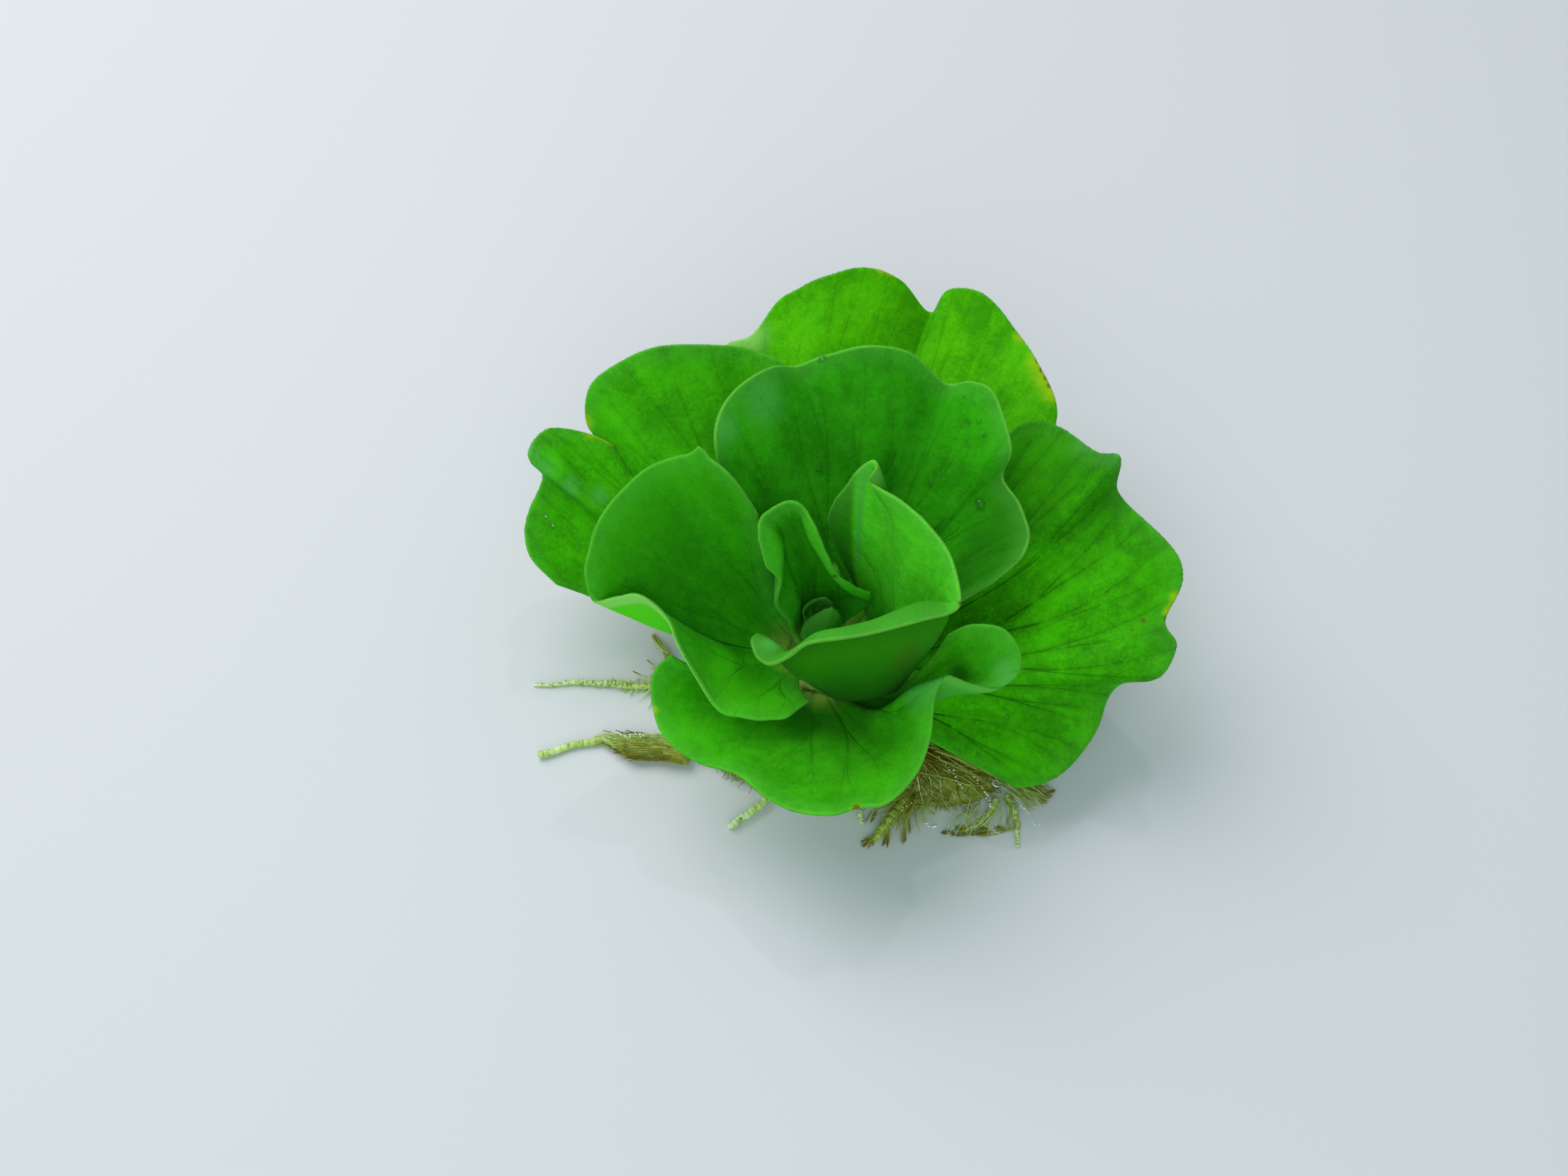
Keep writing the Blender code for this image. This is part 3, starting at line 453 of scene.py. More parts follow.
# Strings of small white beads on the wet roots that paint glints: from, to, how many, and radius.
GLINTS = (
    ((-19.9, -5.0, 1.35), (-17.6, -5.3, 1.75), 9, 0.07), ((-18.6, -4.9, 1.6), (-17.9, -5.0, 1.7), 5, 0.06),
    ((11.3, -8.2, 3.05), (12.7, -9.4, 2.75), 7, 0.06), ((13.0, -9.6, 2.7), (13.9, -11.4, 2.0), 8, 0.08),
    ((14.8, -9.6, 2.35), (16.5, -11.9, 1.5), 9, 0.08), ((16.4, -11.9, 1.5), (16.8, -12.8, 1.0), 5, 0.09),
    ((19.3, -11.9, 1.1), (20.3, -13.4, 0.7), 8, 0.07), ((20.6, -14.0, 0.4), (21.4, -14.6, 0.2), 4, 0.08),
    ((10.3, -14.3, 0.3), (11.2, -14.6, 0.25), 5, 0.09), ((14.9, -14.2, 0.4), (15.2, -14.5, 0.4), 3, 0.07),
    ((7.9, -13.5, 1.5), (9.2, -12.7, 1.7), 5, 0.06),
)
BALL_DROP = (17.4, -10.9, 1.9, 0.45)


def polar(azimuth, reach, height):
    angle = np.radians(azimuth)
    return np.stack(np.broadcast_arrays(reach * np.cos(angle), reach * np.sin(angle), height), -1)


def smooth_curve(points, places):
    """Points at places, from 0 to 1, on the smooth curve through the points."""
    points = np.asarray(points, float)
    last = len(points) - 1
    where = np.clip(np.asarray(places, float), 0, 1) * last
    i = np.minimum(where.astype(int), last - 1)
    w = (where - i)[..., None]
    before, start = points[np.maximum(i - 1, 0)], points[i]
    end, after = points[i + 1], points[np.minimum(i + 2, last)]
    swing = (end - before) * w + (2 * before - 5 * start + 4 * end - after) * w * w
    return start + 0.5 * (swing + (3 * start - before - 3 * end + after) * w**3)


def even_curve(points, places):
    """Like smooth_curve, but places run with the length of the curve."""
    points = np.asarray(points, float)
    lengths = np.linalg.norm(np.diff(points, axis=0), axis=1)
    run = np.concatenate(([0.0], np.cumsum(lengths)))
    where = np.interp(np.asarray(places) * run[-1], run, np.arange(len(points)))
    return smooth_curve(points, where / (len(points) - 1))


def unit(vectors):
    return vectors / np.maximum(np.linalg.norm(vectors, axis=-1, keepdims=True), 1e-9)


class LeafSheet:
    """The middle surface of one leaf: across runs along its margin, out from base to margin."""

    def __init__(self, leaf, pushes=()):
        self.azimuth, self.half_spread, self.base_reach, self.base_height = leaf["base"]
        self.margin = np.array([polar(*point) for point in leaf["margin"]])
        self.tip = leaf["tip"] / (len(self.margin) - 1)
        self.ruffle = leaf["ruffle"]
        self.swells = leaf.get("swells", ())
        self.pushes = pushes
        first, last = ([polar(*point) for point in side] for side in leaf["sides"])
        middle = [polar(*point) for point in leaf["midrib"]]
        self.ribs = [
            np.array([self.base(place), *inner, smooth_curve(self.margin, place)])
            for place, inner in ((0.0, first), (self.tip, middle), (1.0, last))
        ]
        midrib = self.ribs[1][-1] - self.ribs[1][0]
        self.slope = math.atan2(midrib[2], math.hypot(midrib[0], midrib[1]))

    def base(self, across):
        azimuth = self.azimuth + self.half_spread * (1 - 2 * np.asarray(across, float))
        return polar(azimuth, self.base_reach, self.base_height)

    def blend(self, across):
        tip = self.tip
        return np.array([
            (across - tip) * (across - 1) / tip,
            across * (across - 1) / (tip * (tip - 1)),
            across * (across - tip) / (1 - tip),
        ])

    def grid(self, across, out):
        """Points for every out (rows) and across (columns)."""
        shares = self.blend(across)
        spine = sum(
            share[None, :, None] * even_curve(rib, out)[:, None, :]
            for share, rib in zip(shares, self.ribs)
        )
        at_base = self.base(across) - sum(s[:, None] * rib[0] for s, rib in zip(shares, self.ribs))
        at_margin = smooth_curve(self.margin, across)
        at_margin = at_margin - sum(s[:, None] * rib[-1] for s, rib in zip(shares, self.ribs))
        rows = out[:, None, None]
        place = spine + at_base[None] * (1 - rows) ** 2 + at_margin[None] * rows**self.ruffle
        place = place + self.swelling(across[None, :], out[:, None])[..., None] * self.underside(place)
        for at, along, wide, long, push in self.pushes:
            share = np.exp(-(((across[None, :] - at) / wide) ** 2) - ((out[:, None] - along) / long) ** 2)
            place = place + share[..., None] * np.array(push)
        return place

    def foot(self, across):
        """Rows of points from the crown up to the leaf's base."""
        share = np.linspace(1, 0, FOOT_ROWS, endpoint=False)[:, None]
        height = self.base_height - share * min(FOOT_DROP, self.base_height - 4.2)
        inner = np.interp(self.base_height - FOOT_DROP, *CROWN_REACH) - 0.1
        reach = self.base_reach + (min(inner, self.base_reach) - self.base_reach) * share**1.5
        azimuth = self.azimuth + self.half_spread * (1 - 2 * across[None, :]) + 0 * share
        return polar(azimuth, reach, height)

    def swelling(self, across, out):
        fade = (1 - (2 * out - 1) ** 6) * (1 - (2 * across - 1) ** 6)
        total = np.zeros(np.broadcast(across, out).shape)
        for at, along, wide, long, height in self.swells:
            total = total + height * np.exp(-(((across - at) / wide) ** 2) - ((out - along) / long) ** 2)
        return fade * total

    def underside(self, place):
        away = unit(place * np.array((1.0, 1.0, 0.0)))
        return away * math.sin(self.slope) - np.array((0.0, 0.0, math.cos(self.slope)))

    def spot(self, across, out):
        return self.grid(np.array([across]), np.array([out]))[0, 0]


def edge_spaced(count):
    """Places from 0 to 1, even in the middle and close together at both ends."""
    inner = np.linspace(0.03, 0.97, count)
    return np.concatenate((EDGE_ROWS, inner, 1 - np.array(EDGE_ROWS)[::-1]))


def waves(across, out, seed):
    """A smooth irregular field of about -1 to 1, from a few waves with seeded phases."""
    source = random.Random(seed)
    total = 0.0
    for _ in range(7):
        along, over = source.uniform(-9, 9), source.uniform(8, 34)
        total = total + np.sin(over * across + along * out + source.uniform(0, 6.3))
    return total / 3.5


def vein_place(across, out, count, seed):
    """A running number across the leaf: a main vein lies at every half."""
    return across * count + 0.22 * waves(0.35 * across, 0.5 * out, seed + 2) * out


def vein_relief(place, out, span, count):
    """1 on a vein and 0 between veins. The veins fork twice on their way out."""
    off = np.abs(place - np.floor(place) - 0.5)
    for start, end, spread in FORKS:
        step = np.clip((out - start) / (end - start), 0, 1)
        off = np.abs(off - spread * step * step * (3 - 2 * step))
    return np.exp(-((off * span / count / 0.30) ** 2))


def soft_step(value):
    """0 below -0.5 and 1 above 0.5, smooth between."""
    share = np.clip(value + 0.5, 0, 1)
    return share * share * (3 - 2 * share)


def zone_share(across, out, across_range, out_range, lean, soft, strength):
    """How much a soft-edged patch covers each point of a leaf."""
    moved = across + lean * (1 - out)
    share = soft_step((moved - across_range[0]) / soft) * soft_step((across_range[1] - moved) / soft)
    return strength * share * soft_step((out - out_range[0]) / soft) * soft_step((out_range[1] - out) / soft)


def leaf_arrays(name, thickness):
    """The leaf's two faces as points, with what its material reads at every point."""
    leaf, finish = LEAVES[name], FINISH[name]
    sheet = LeafSheet(leaf, finish.get("pushes", ()))
    length = np.linalg.norm(np.diff(sheet.ribs[1], axis=0), axis=1).sum()
    rim = np.linalg.norm(np.diff(smooth_curve(sheet.margin, np.linspace(0, 1, 200)), axis=0), axis=1).sum()
    across = edge_spaced(max(int(rim / COLUMN_STEP), 24))
    out = edge_spaced(max(int(length / ROW_STEP), 20))
    place = np.concatenate((sheet.foot(across), sheet.grid(across, out)))
    out = np.concatenate((np.full(FOOT_ROWS, 0.0), out))
    normal = unit(np.cross(np.gradient(place, axis=1), np.gradient(place, axis=0)))

    steps = np.linalg.norm(np.diff(place, axis=1), axis=2)
    span = steps.sum(axis=1)[:, None] * np.ones_like(across)[None, :]
    run = np.concatenate((np.zeros((1, len(across))),
                          np.cumsum(np.linalg.norm(np.diff(place, axis=0), axis=2), axis=0)))
    from_margin = run[-1][None, :] - run
    from_side = np.minimum(across, 1 - across)[None, :] * span
    across2, out2 = np.meshgrid(across, out)

    inside = (1 - out2) ** 1.2 * (1 - 0.5 * np.abs(2 * across2 - 1) ** 3)
    thick, thin = thickness
    depth = thin + (thick - thin) * inside
    for distance in (from_margin, from_side, run):
        near = np.clip(distance / EDGE_RADIUS, 0, 1)
        depth = depth * np.sqrt(np.maximum(1 - (1 - near) ** 2, 0))

    seed = sum(map(ord, name))
    tame = np.minimum(np.minimum(from_margin, from_side), run) / 2
    vein = vein_place(across2, out2, finish["veins"], seed)
    veins = vein_relief(vein, out2, span, finish["veins"]) * np.clip(tame, 0, 1)
    fade = np.clip(1.15 - out2, 0, 1)
    lift = 0.09 * waves(across2, out2, seed) * np.clip(tame, 0.2, 1)
    ripple = 0.07 * waves(3.1 * across2, 0 * out2, seed + 1) * out2**8
    outward = unit(np.gradient(place, axis=0))
    groove = depth / 2 - VEIN_GROOVE * veins * fade + lift
    ridge = depth / 2 + VEIN_RIDGE * veins * fade - lift
    upper = place + normal * groove[..., None] + outward * ripple[..., None]
    lower = place - normal * ridge[..., None] + outward * ripple[..., None]

    free_edge = np.minimum(from_margin, from_side)
    marks = {kind: np.zeros_like(free_edge) for kind in MARK_KINDS}
    for kind, at, along, radius in finish.get("marks", ()):
        distance = np.linalg.norm(place - sheet.spot(at, along), axis=2)
        marks[kind] = np.maximum(marks[kind], np.exp(-((distance / radius) ** 2)))
    for kind, *zone in finish.get("zones", ()):
        marks[kind] = np.maximum(marks[kind], zone_share(across2, out2, *zone))
    read = {"place": np.stack((vein, out2, span), -1), "edge": free_edge, **marks}
    return sheet, upper, lower, normal, outward, read


def down(upper, outward, normal, read, seed):
    """Short hairs along the free edges: base point, tip point and the index of the vertex below."""
    source = np.random.default_rng(seed)
    rows, columns = upper.shape[:2]
    ids = np.arange(rows * columns).reshape(rows, columns)
    edge = np.concatenate((ids[2:, 0], ids[-1, 1:-1], ids[2:, -1][::-1]))
    flat = upper.reshape(-1, 3)
    ends = flat[edge]
    lengths = np.linalg.norm(np.diff(ends, axis=0), axis=1)
    run = np.concatenate(([0.0], np.cumsum(lengths)))
    count = int(run[-1] * HAIRS_PER_MM)
    at = source.uniform(0, run[-1], count)
    base = np.stack([np.interp(at, run, ends[:, k]) for k in range(3)], -1)
    under = edge[np.clip(np.searchsorted(run, at), 0, len(edge) - 1)]
    middle = flat.mean(axis=0)
    away = unit(outward.reshape(-1, 3)[under] + 0.25 * unit(base - middle))
    lean = source.normal(0, 0.45, (count, 3)) + normal.reshape(-1, 3)[under] * source.normal(0.1, 0.5, (count, 1))
    direction = unit(away + lean)
    return base, direction, source.uniform(*HAIR_LENGTH, count), under


def build_leaf(name, thickness):
    sheet, upper, lower, normal, outward, read = leaf_arrays(name, thickness)
    rows, columns = upper.shape[:2]
    top = np.arange(rows * columns).reshape(rows, columns)
    under = top.copy()
    inner = (slice(1, -1), slice(1, -1))
    under[inner] = rows * columns + np.arange((rows - 2) * (columns - 2)).reshape(rows - 2, columns - 2)
    points = np.concatenate((upper.reshape(-1, 3), lower[inner].reshape(-1, 3)))

    def quads(ids, flip):
        a, b, c, d = ids[:-1, :-1], ids[:-1, 1:], ids[1:, 1:], ids[1:, :-1]
        order = (a, d, c, b) if flip else (a, b, c, d)
        return np.stack(order, -1).reshape(-1, 4)

    faces = np.concatenate((quads(top, False), quads(under, True))).tolist()
    columns_of = {
        key: np.concatenate((value.reshape(rows * columns, -1), value[inner].reshape((rows - 2) * (columns - 2), -1)))
        for key, value in read.items()
    }
    face_side = np.concatenate((np.zeros(rows * columns), np.ones((rows - 2) * (columns - 2))))

    base, direction, lengths, below = down(upper, outward, normal, read, sum(map(ord, name)))
    side = unit(np.cross(direction, normal.reshape(-1, 3)[below]))
    other = np.cross(direction, side)
    spread = HAIR_RADIUS
    start = len(points)
    corners = [base + spread * (math.cos(t) * side + math.sin(t) * other) for t in (0, 2.1, 4.2)]
    tips = base + direction * lengths[:, None]
    hairs = np.stack((*corners, tips), 1).reshape(-1, 3)
    for k in range(len(base)):
        a = start + 4 * k
        faces.extend(((a, a + 1, a + 3), (a + 1, a + 2, a + 3), (a + 2, a, a + 3), (a, a + 2, a + 1)))
    points = np.concatenate((points, hairs))
    repeat = np.repeat(below, 4)
    mesh = bpy.data.meshes.new(name + "_fine")
    mesh.from_pydata((points * MM).tolist(), [], faces)
    place = np.concatenate((columns_of["place"], columns_of["place"][repeat]))
    zero = np.zeros(len(hairs))
    add_attribute(mesh, "place", place)
    add_attribute(mesh, "edge", np.concatenate((columns_of["edge"][:, 0], zero)))
    for kind in MARK_KINDS:
        spots = columns_of[kind][:, 0]
        add_attribute(mesh, kind, np.concatenate((spots, spots[repeat])))
    add_attribute(mesh, "under", np.concatenate((face_side, zero)))
    mesh.shade_smooth()
    obj = link(name + "_fine", mesh, leaf_material(name, FINISH[name]))
    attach(obj, BODY)
    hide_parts(name)
    return sheet, obj


def add_attribute(mesh, name, values):
    kind = "FLOAT_VECTOR" if values.ndim == 2 else "FLOAT"
    attribute = mesh.attributes.new(name, kind, "POINT")
    attribute.data.foreach_set("vector" if values.ndim == 2 else "value", values.astype(np.float32).ravel())


def link(name, data, material):
    obj = bpy.data.objects.new(name, data)
    bpy.context.scene.collection.objects.link(obj)
    data.materials.append(material)
    return obj


class Nodes:
    """Short calls for building one material's node tree."""

    def __init__(self, name):
        self.material = bpy.data.materials.new(name)
        self.material.use_nodes = True
        self.tree = self.material.node_tree
        self.shader = self.tree.nodes["Principled BSDF"]

    def new(self, kind, **settings):
        node = self.tree.nodes.new(kind)
        for key, value in settings.items():
            setattr(node, key, value)
        return node

    def put(self, socket, value):
        if isinstance(value, bpy.types.NodeSocket):
            self.tree.links.new(value, socket)
        elif isinstance(value, tuple) and len(value) == 3 and socket.type == "RGBA":
            socket.default_value = (*value, 1.0)
        else:
            socket.default_value = value

    def attribute(self, name, output="Fac"):
        return self.new("ShaderNodeAttribute", attribute_name=name).outputs[output]

    def math(self, operation, a, b=0.0, c=0.0, clamp=False):
        node = self.new("ShaderNodeMath", operation=operation, use_clamp=clamp)
        for socket, value in zip(node.inputs, (a, b, c)):
            self.put(socket, value)
        return node.outputs[0]

    def mix(self, factor, a, b, blend="MIX"):
        node = self.new("ShaderNodeMix", data_type="RGBA", blend_type=blend)
        for key, value in (("Factor", factor), ("A", a), ("B", b)):
            socket = [s for s in node.inputs if s.name == key and s.enabled][0]
            self.put(socket, value)
        return [s for s in node.outputs if s.enabled][0]

    def ramp(self, value, low, high, to_low=0.0, to_high=1.0, smooth=True):
        node = self.new("ShaderNodeMapRange", interpolation_type="SMOOTHSTEP" if smooth else "LINEAR")
        for key, number in (("Value", value), ("From Min", low), ("From Max", high),
                            ("To Min", to_low), ("To Max", to_high)):
            self.put(node.inputs[key], number)
        return node.outputs["Result"]

    def noise(self, vector, scale, detail=2.0, roughness=0.5):
        node = self.new("ShaderNodeTexNoise")
        self.put(node.inputs["Vector"], vector)
        self.put(node.inputs["Scale"], scale)
        self.put(node.inputs["Detail"], detail)
        self.put(node.inputs["Roughness"], roughness)
        return node.outputs["Fac"]

    def cells(self, vector, scale):
        """Distance to the nearest edge between irregular cells."""
        node = self.new("ShaderNodeTexVoronoi", feature="DISTANCE_TO_EDGE")
        self.put(node.inputs["Vector"], vector)
        self.put(node.inputs["Scale"], scale)
        return node.outputs["Distance"]

    def vector(self, x, y, z):
        node = self.new("ShaderNodeCombineXYZ")
        for socket, value in zip(node.inputs, (x, y, z)):
            self.put(socket, value)
        return node.outputs[0]

    def bump(self, height, distance, strength=1.0, normal=None):
        node = self.new("ShaderNodeBump")
        self.put(node.inputs["Height"], height)
        self.put(node.inputs["Distance"], distance)
        self.put(node.inputs["Strength"], strength)
        if normal is not None:
            self.put(node.inputs["Normal"], normal)
        return node.outputs["Normal"]

    def surface(self, **values):
        for key, value in values.items():
            self.put(self.shader.inputs[key.replace("_", " ")], value)


def leaf_material(name, finish):
    """Mottled green with forking veins, a pale downy edge, a paler underside and aged spots."""
    n = Nodes(name)
    spot = n.new("ShaderNodeTexCoord").outputs["Object"]
    parts = n.new("ShaderNodeSeparateXYZ")
    n.put(parts.inputs[0], n.attribute("place", "Vector"))
    vein, out, span = parts.outputs

    # Soft patches, streaks that run with the veins, and a fine grain.
    patches = n.noise(spot, 150.0, 3.0)
    streaks = n.noise(n.vector(n.math("MULTIPLY", vein, 3.5), n.math("MULTIPLY", out, 5.0), 0.0), 1.0, 4.0, 0.65)
    speckle = n.noise(spot, 900.0, 3.0, 0.6)
    grain = n.noise(spot, 3200.0, 2.0, 0.6)
    tone = n.math("ADD", n.math("MULTIPLY", patches, 0.40), n.math("MULTIPLY", streaks, 0.30))
    tone = n.math("ADD", tone, n.math("MULTIPLY", speckle, 0.24))
    tone = n.math("ADD", tone, n.math("MULTIPLY", grain, 0.18))
    colour = n.mix(n.ramp(tone, 0.42, 0.70), finish["dark"], finish["bright"])
    # The marked patches: painted light, painted shade, and a painted bluish sheen with some painted shade.
    colour = n.mix(n.ramp(n.attribute("light"), 0.0, 1.0, 0.0, 0.55), colour, PAINTED_LIGHT_GREEN)
    colour = n.mix(n.ramp(n.attribute("dark"), 0.0, 1.0, 0.0, 0.75), colour, PAINTED_SHADE_GREEN)
    colour = n.mix(n.ramp(n.attribute("painted_sheen"), 0.0, 1.0, 0.0, 0.7), colour, PAINTED_SHEEN_GREEN)
    # Painted shade darkens the outer part of the leaf where this setting is below 1, and painted light brightens it
    # where the setting is above 1.
    outer_light_and_shade = finish.get("outer_light_and_shade", 1.0)
    further = n.ramp(out, 0.45, 0.95)
    if outer_light_and_shade < 1:
        colour = n.mix(n.math("MULTIPLY", further, 1 - outer_light_and_shade), colour, (0.0, 0.0, 0.0))
    elif outer_light_and_shade > 1:
        colour = n.mix(n.math("MULTIPLY", further, outer_light_and_shade - 1), colour, PAINTED_LIGHT_GREEN)

    # The forking veins, darkened with painted shade in their grooves as well as their own darker green, and the net
    # between them.
    def vein_lines(width):
        off = n.math("ABSOLUTE", n.math("SUBTRACT", n.math("FRACT", vein), 0.5))
        for start, end, spread in FORKS:
            off = n.math("ABSOLUTE", n.math("SUBTRACT", off, n.ramp(out, start, end, 0.0, spread)))
        uneven = n.math("MULTIPLY", n.math("SUBTRACT", speckle, 0.5), 0.15)
        distance = n.math("DIVIDE", n.math("MULTIPLY", off, span), float(finish["veins"]))
        return n.ramp(n.math("ADD", distance, uneven), 0.0, width, 1.0, 0.0)

    broken = n.ramp(n.noise(spot, 330.0, 2.0), 0.34, 0.52, 0.25, 1.0)
    lines = n.math("MULTIPLY", vein_lines(0.20), n.ramp(out, 0.25, 0.95, 1.0, 0.4))
    soft = n.math("MULTIPLY", vein_lines(0.9), 0.18)
    lines = n.math("MULTIPLY", n.math("MAXIMUM", lines, soft), broken)
    bend = n.new("ShaderNodeVectorMath", operation="ADD")
    n.put(bend.inputs[0], spot)
    n.put(bend.inputs[1], n.vector(*(n.math("MULTIPLY", grain, 0.0004),) * 3))
    net = n.ramp(n.cells(bend.outputs[0], 1500.0), 0.0, 0.14, 1.0, 0.0)
    net = n.math("MULTIPLY", net, n.ramp(n.noise(spot, 240.0, 1.0), 0.40, 0.65, 0.0, finish["net"]))
    shade = tuple(0.35 * c for c in finish["dark"])
    colour = n.mix(n.math("MULTIPLY", lines, finish["vein_dark"]), colour, shade)
    colour = n.mix(net, colour, shade)

    # The base is pale, the underside greyer and darkened with painted shade towards the base, the edge downy with its
    # band paled by painted sheen.
    under = n.attribute("under")
    base = n.math("MULTIPLY", n.ramp(out, 0.0, 0.20, 1.0, 0.0), n.ramp(under, 0.0, 1.0, 0.5, 0.9))
    colour = n.mix(base, colour, BASE_CREAM)
    colour = n.mix(n.math("MULTIPLY", under, 0.9), colour, finish["under"])
    # Painted shade darkens the underside towards the base.
    underside_shade = n.ramp(out, 0.25, 0.95, finish.get("under_painted_shade", 0.0), 0.0)
    colour = n.mix(n.math("MULTIPLY", under, underside_shade), colour, (0.0, 0.0, 0.0))
    edge = n.attribute("edge")
    full, gone, strength = finish.get("under_band", (0.3, 1.7, 0.15))
    band = n.ramp(edge, full, gone, strength, 0.0)
    colour = n.mix(n.math("MULTIPLY", under, band), colour, PALE_PATCH)
    ragged = n.math("ADD", edge, n.math("MULTIPLY", n.math("SUBTRACT", speckle, 0.5), 0.4))
    down_and_sheen = n.math("MULTIPLY", n.ramp(ragged, 0.2, 2.8, 1.0, 0.0), finish["down_and_sheen"])
    colour = n.mix(down_and_sheen, colour, DOWN_AND_SHEEN_GREEN)
    colour = n.mix(n.ramp(ragged, 0.05, 0.28, finish["rim"], 0.0), colour, PALE_EDGE)

    # Pale patches and aged spots.
    colour = n.mix(n.ramp(n.attribute("pale"), 0.1, 1.0, 0.0, 0.8), colour, PALE_PATCH)
    stain_noise = n.math("MULTIPLY", n.math("SUBTRACT", speckle, 0.5), 0.5)
    yellow = n.ramp(n.math("ADD", n.attribute("yellow"), stain_noise), 0.10, 0.95)
    brown = n.ramp(n.math("ADD", n.attribute("brown"), stain_noise), 0.35, 0.85)
    colour = n.mix(n.math("MULTIPLY", yellow, 0.80), colour, YELLOW)
    colour = n.mix(n.math("MULTIPLY", brown, 0.75), colour, BROWN)

    relief = n.math("ADD", n.math("MULTIPLY", speckle, 0.8), n.math("MULTIPLY", lines, -0.8))
    pile = n.bump(n.noise(spot, 5200.0, 1.0), 0.00004, 0.7)
    n.surface(
        Base_Color=colour,
        Roughness=n.ramp(grain, 0.3, 0.7, 0.45, 0.62),
        Normal=n.bump(relief, 0.00016, 0.8, pile),
    )
    n.surface(Sheen_Weight=0.022, Sheen_Roughness=0.5, Sheen_Tint=(0.6, 1.0, 0.6))
    n.surface(Specular_IOR_Level=0.03, Subsurface_Weight=0.10, Subsurface_Scale=0.001)
    n.surface(Subsurface_Radius=(0.35, 1.0, 0.1))
    return n.material


class Strands:
    """Gathers many thin tubes into one mesh, with a tone at every vertex."""

    def __init__(self):
        self.points, self.faces, self.tones, self.count = [], [], [], 0

    def add(self, path, radii, tones, sides=5):
        path = np.asarray(path, float)
        rings = len(path)
        along = unit(np.gradient(path, axis=0))
        lean = np.array((0.0, 0.0, 1.0)) if abs(along[0][2]) < 0.9 else np.array((1.0, 0.0, 0.0))
        side = unit(np.cross(along, lean))
        other = np.cross(side, along)
        turn = np.arange(sides) / sides * 2 * math.pi
        ring = np.cos(turn)[None, :, None] * side[:, None] + np.sin(turn)[None, :, None] * other[:, None]
        radii = np.broadcast_to(radii, (rings,))
        points = path[:, None] + ring * radii[:, None, None]
        ids = self.count + np.arange(rings * sides).reshape(rings, sides)
        after = np.roll(ids, -1, axis=1)
        quads = np.stack((ids[:-1], ids[1:], after[1:], after[:-1]), -1).reshape(-1, 4)
        self.faces += quads.tolist() + [ids[0].tolist(), ids[-1][::-1].tolist()]
        self.points.append(points.reshape(-1, 3))
        self.tones.append(np.repeat(np.broadcast_to(tones, (rings,)), sides))
        self.count += rings * sides

    def add_sheet(self, points, tones, closed_rows=True):
        """A closed body from rings of points, its two ends capped."""
        rings, sides = points.shape[:2]
        ids = self.count + np.arange(rings * sides).reshape(rings, sides)
        after = np.roll(ids, -1, axis=1)
        quads = np.stack((ids[:-1], ids[1:], after[1:], after[:-1]), -1).reshape(-1, 4)
        self.faces += quads.tolist() + [ids[0].tolist(), ids[-1][::-1].tolist()]
        self.points.append(points.reshape(-1, 3))
        self.tones.append(np.broadcast_to(tones, (rings, sides)).ravel())
        self.count += rings * sides

    def finish(self, name, material):
        points = np.concatenate(self.points)
        points[:, 2] = np.maximum(points[:, 2], 0.01)
        mesh = bpy.data.meshes.new(name)
        mesh.from_pydata((points * MM).tolist(), [], self.faces)
        add_attribute(mesh, "tone", np.concatenate(self.tones))
        mesh.shade_smooth()
        return link(name, mesh, material)


def root_material(name, wet):
    """Pale green through olive to dark brown by tone, with a wet coat."""
    n = Nodes(name)
    spot = n.new("ShaderNodeTexCoord").outputs["Object"]
    blotch = n.math("MULTIPLY", n.math("SUBTRACT", n.noise(spot, 800.0, 3.0), 0.5), 0.35)
    tone = n.math("ADD", n.attribute("tone"), blotch, clamp=True)
    ramp = n.new("ShaderNodeValToRGB")
    n.put(ramp.inputs[0], tone)
    stops = ((0.0, (0.66, 0.84, 0.45)), (0.10, (0.50, 0.70, 0.20)), (0.24, (0.36, 0.46, 0.065)),
             (0.5, (0.22, 0.235, 0.014)), (0.78, (0.150, 0.108, 0.006)), (1.0, (0.045, 0.033, 0.004)))
    while len(ramp.color_ramp.elements) < len(stops):
        ramp.color_ramp.elements.new(0.5)
    for element, (position, colour) in zip(ramp.color_ramp.elements, stops):
        element.position = position
        element.color = (*colour, 1.0)
    fine = n.noise(spot, 1600.0, 3.0)
    n.surface(Base_Color=ramp.outputs[0], Roughness=n.ramp(fine, 0.3, 0.7, 0.25, 0.45))
    n.surface(Normal=n.bump(fine, 0.00012, 0.8))
    n.surface(Specular_IOR_Level=0.12, Coat_Weight=wet, Coat_Roughness=0.05, Coat_IOR=1.33)
    n.surface(Subsurface_Weight=0.3, Subsurface_Scale=0.001, Subsurface_Radius=(0.8, 0.9, 0.3))
    return n.material


def bent(start, direction, length, droop, steps, source, wander=0.18):
    """A short strand that sets off in a direction, wanders and droops."""
    points = [np.array(start, float)]
    heading = unit(np.array(direction, float))
    for _ in range(steps):
        heading = unit(heading + source.normal(0, wander, 3) + np.array((0.0, 0.0, -droop)))
        points.append(points[-1] + heading * length / steps)
    points = np.array(points)
    points[:, 2] = np.maximum(points[:, 2], 0.06)
    return points


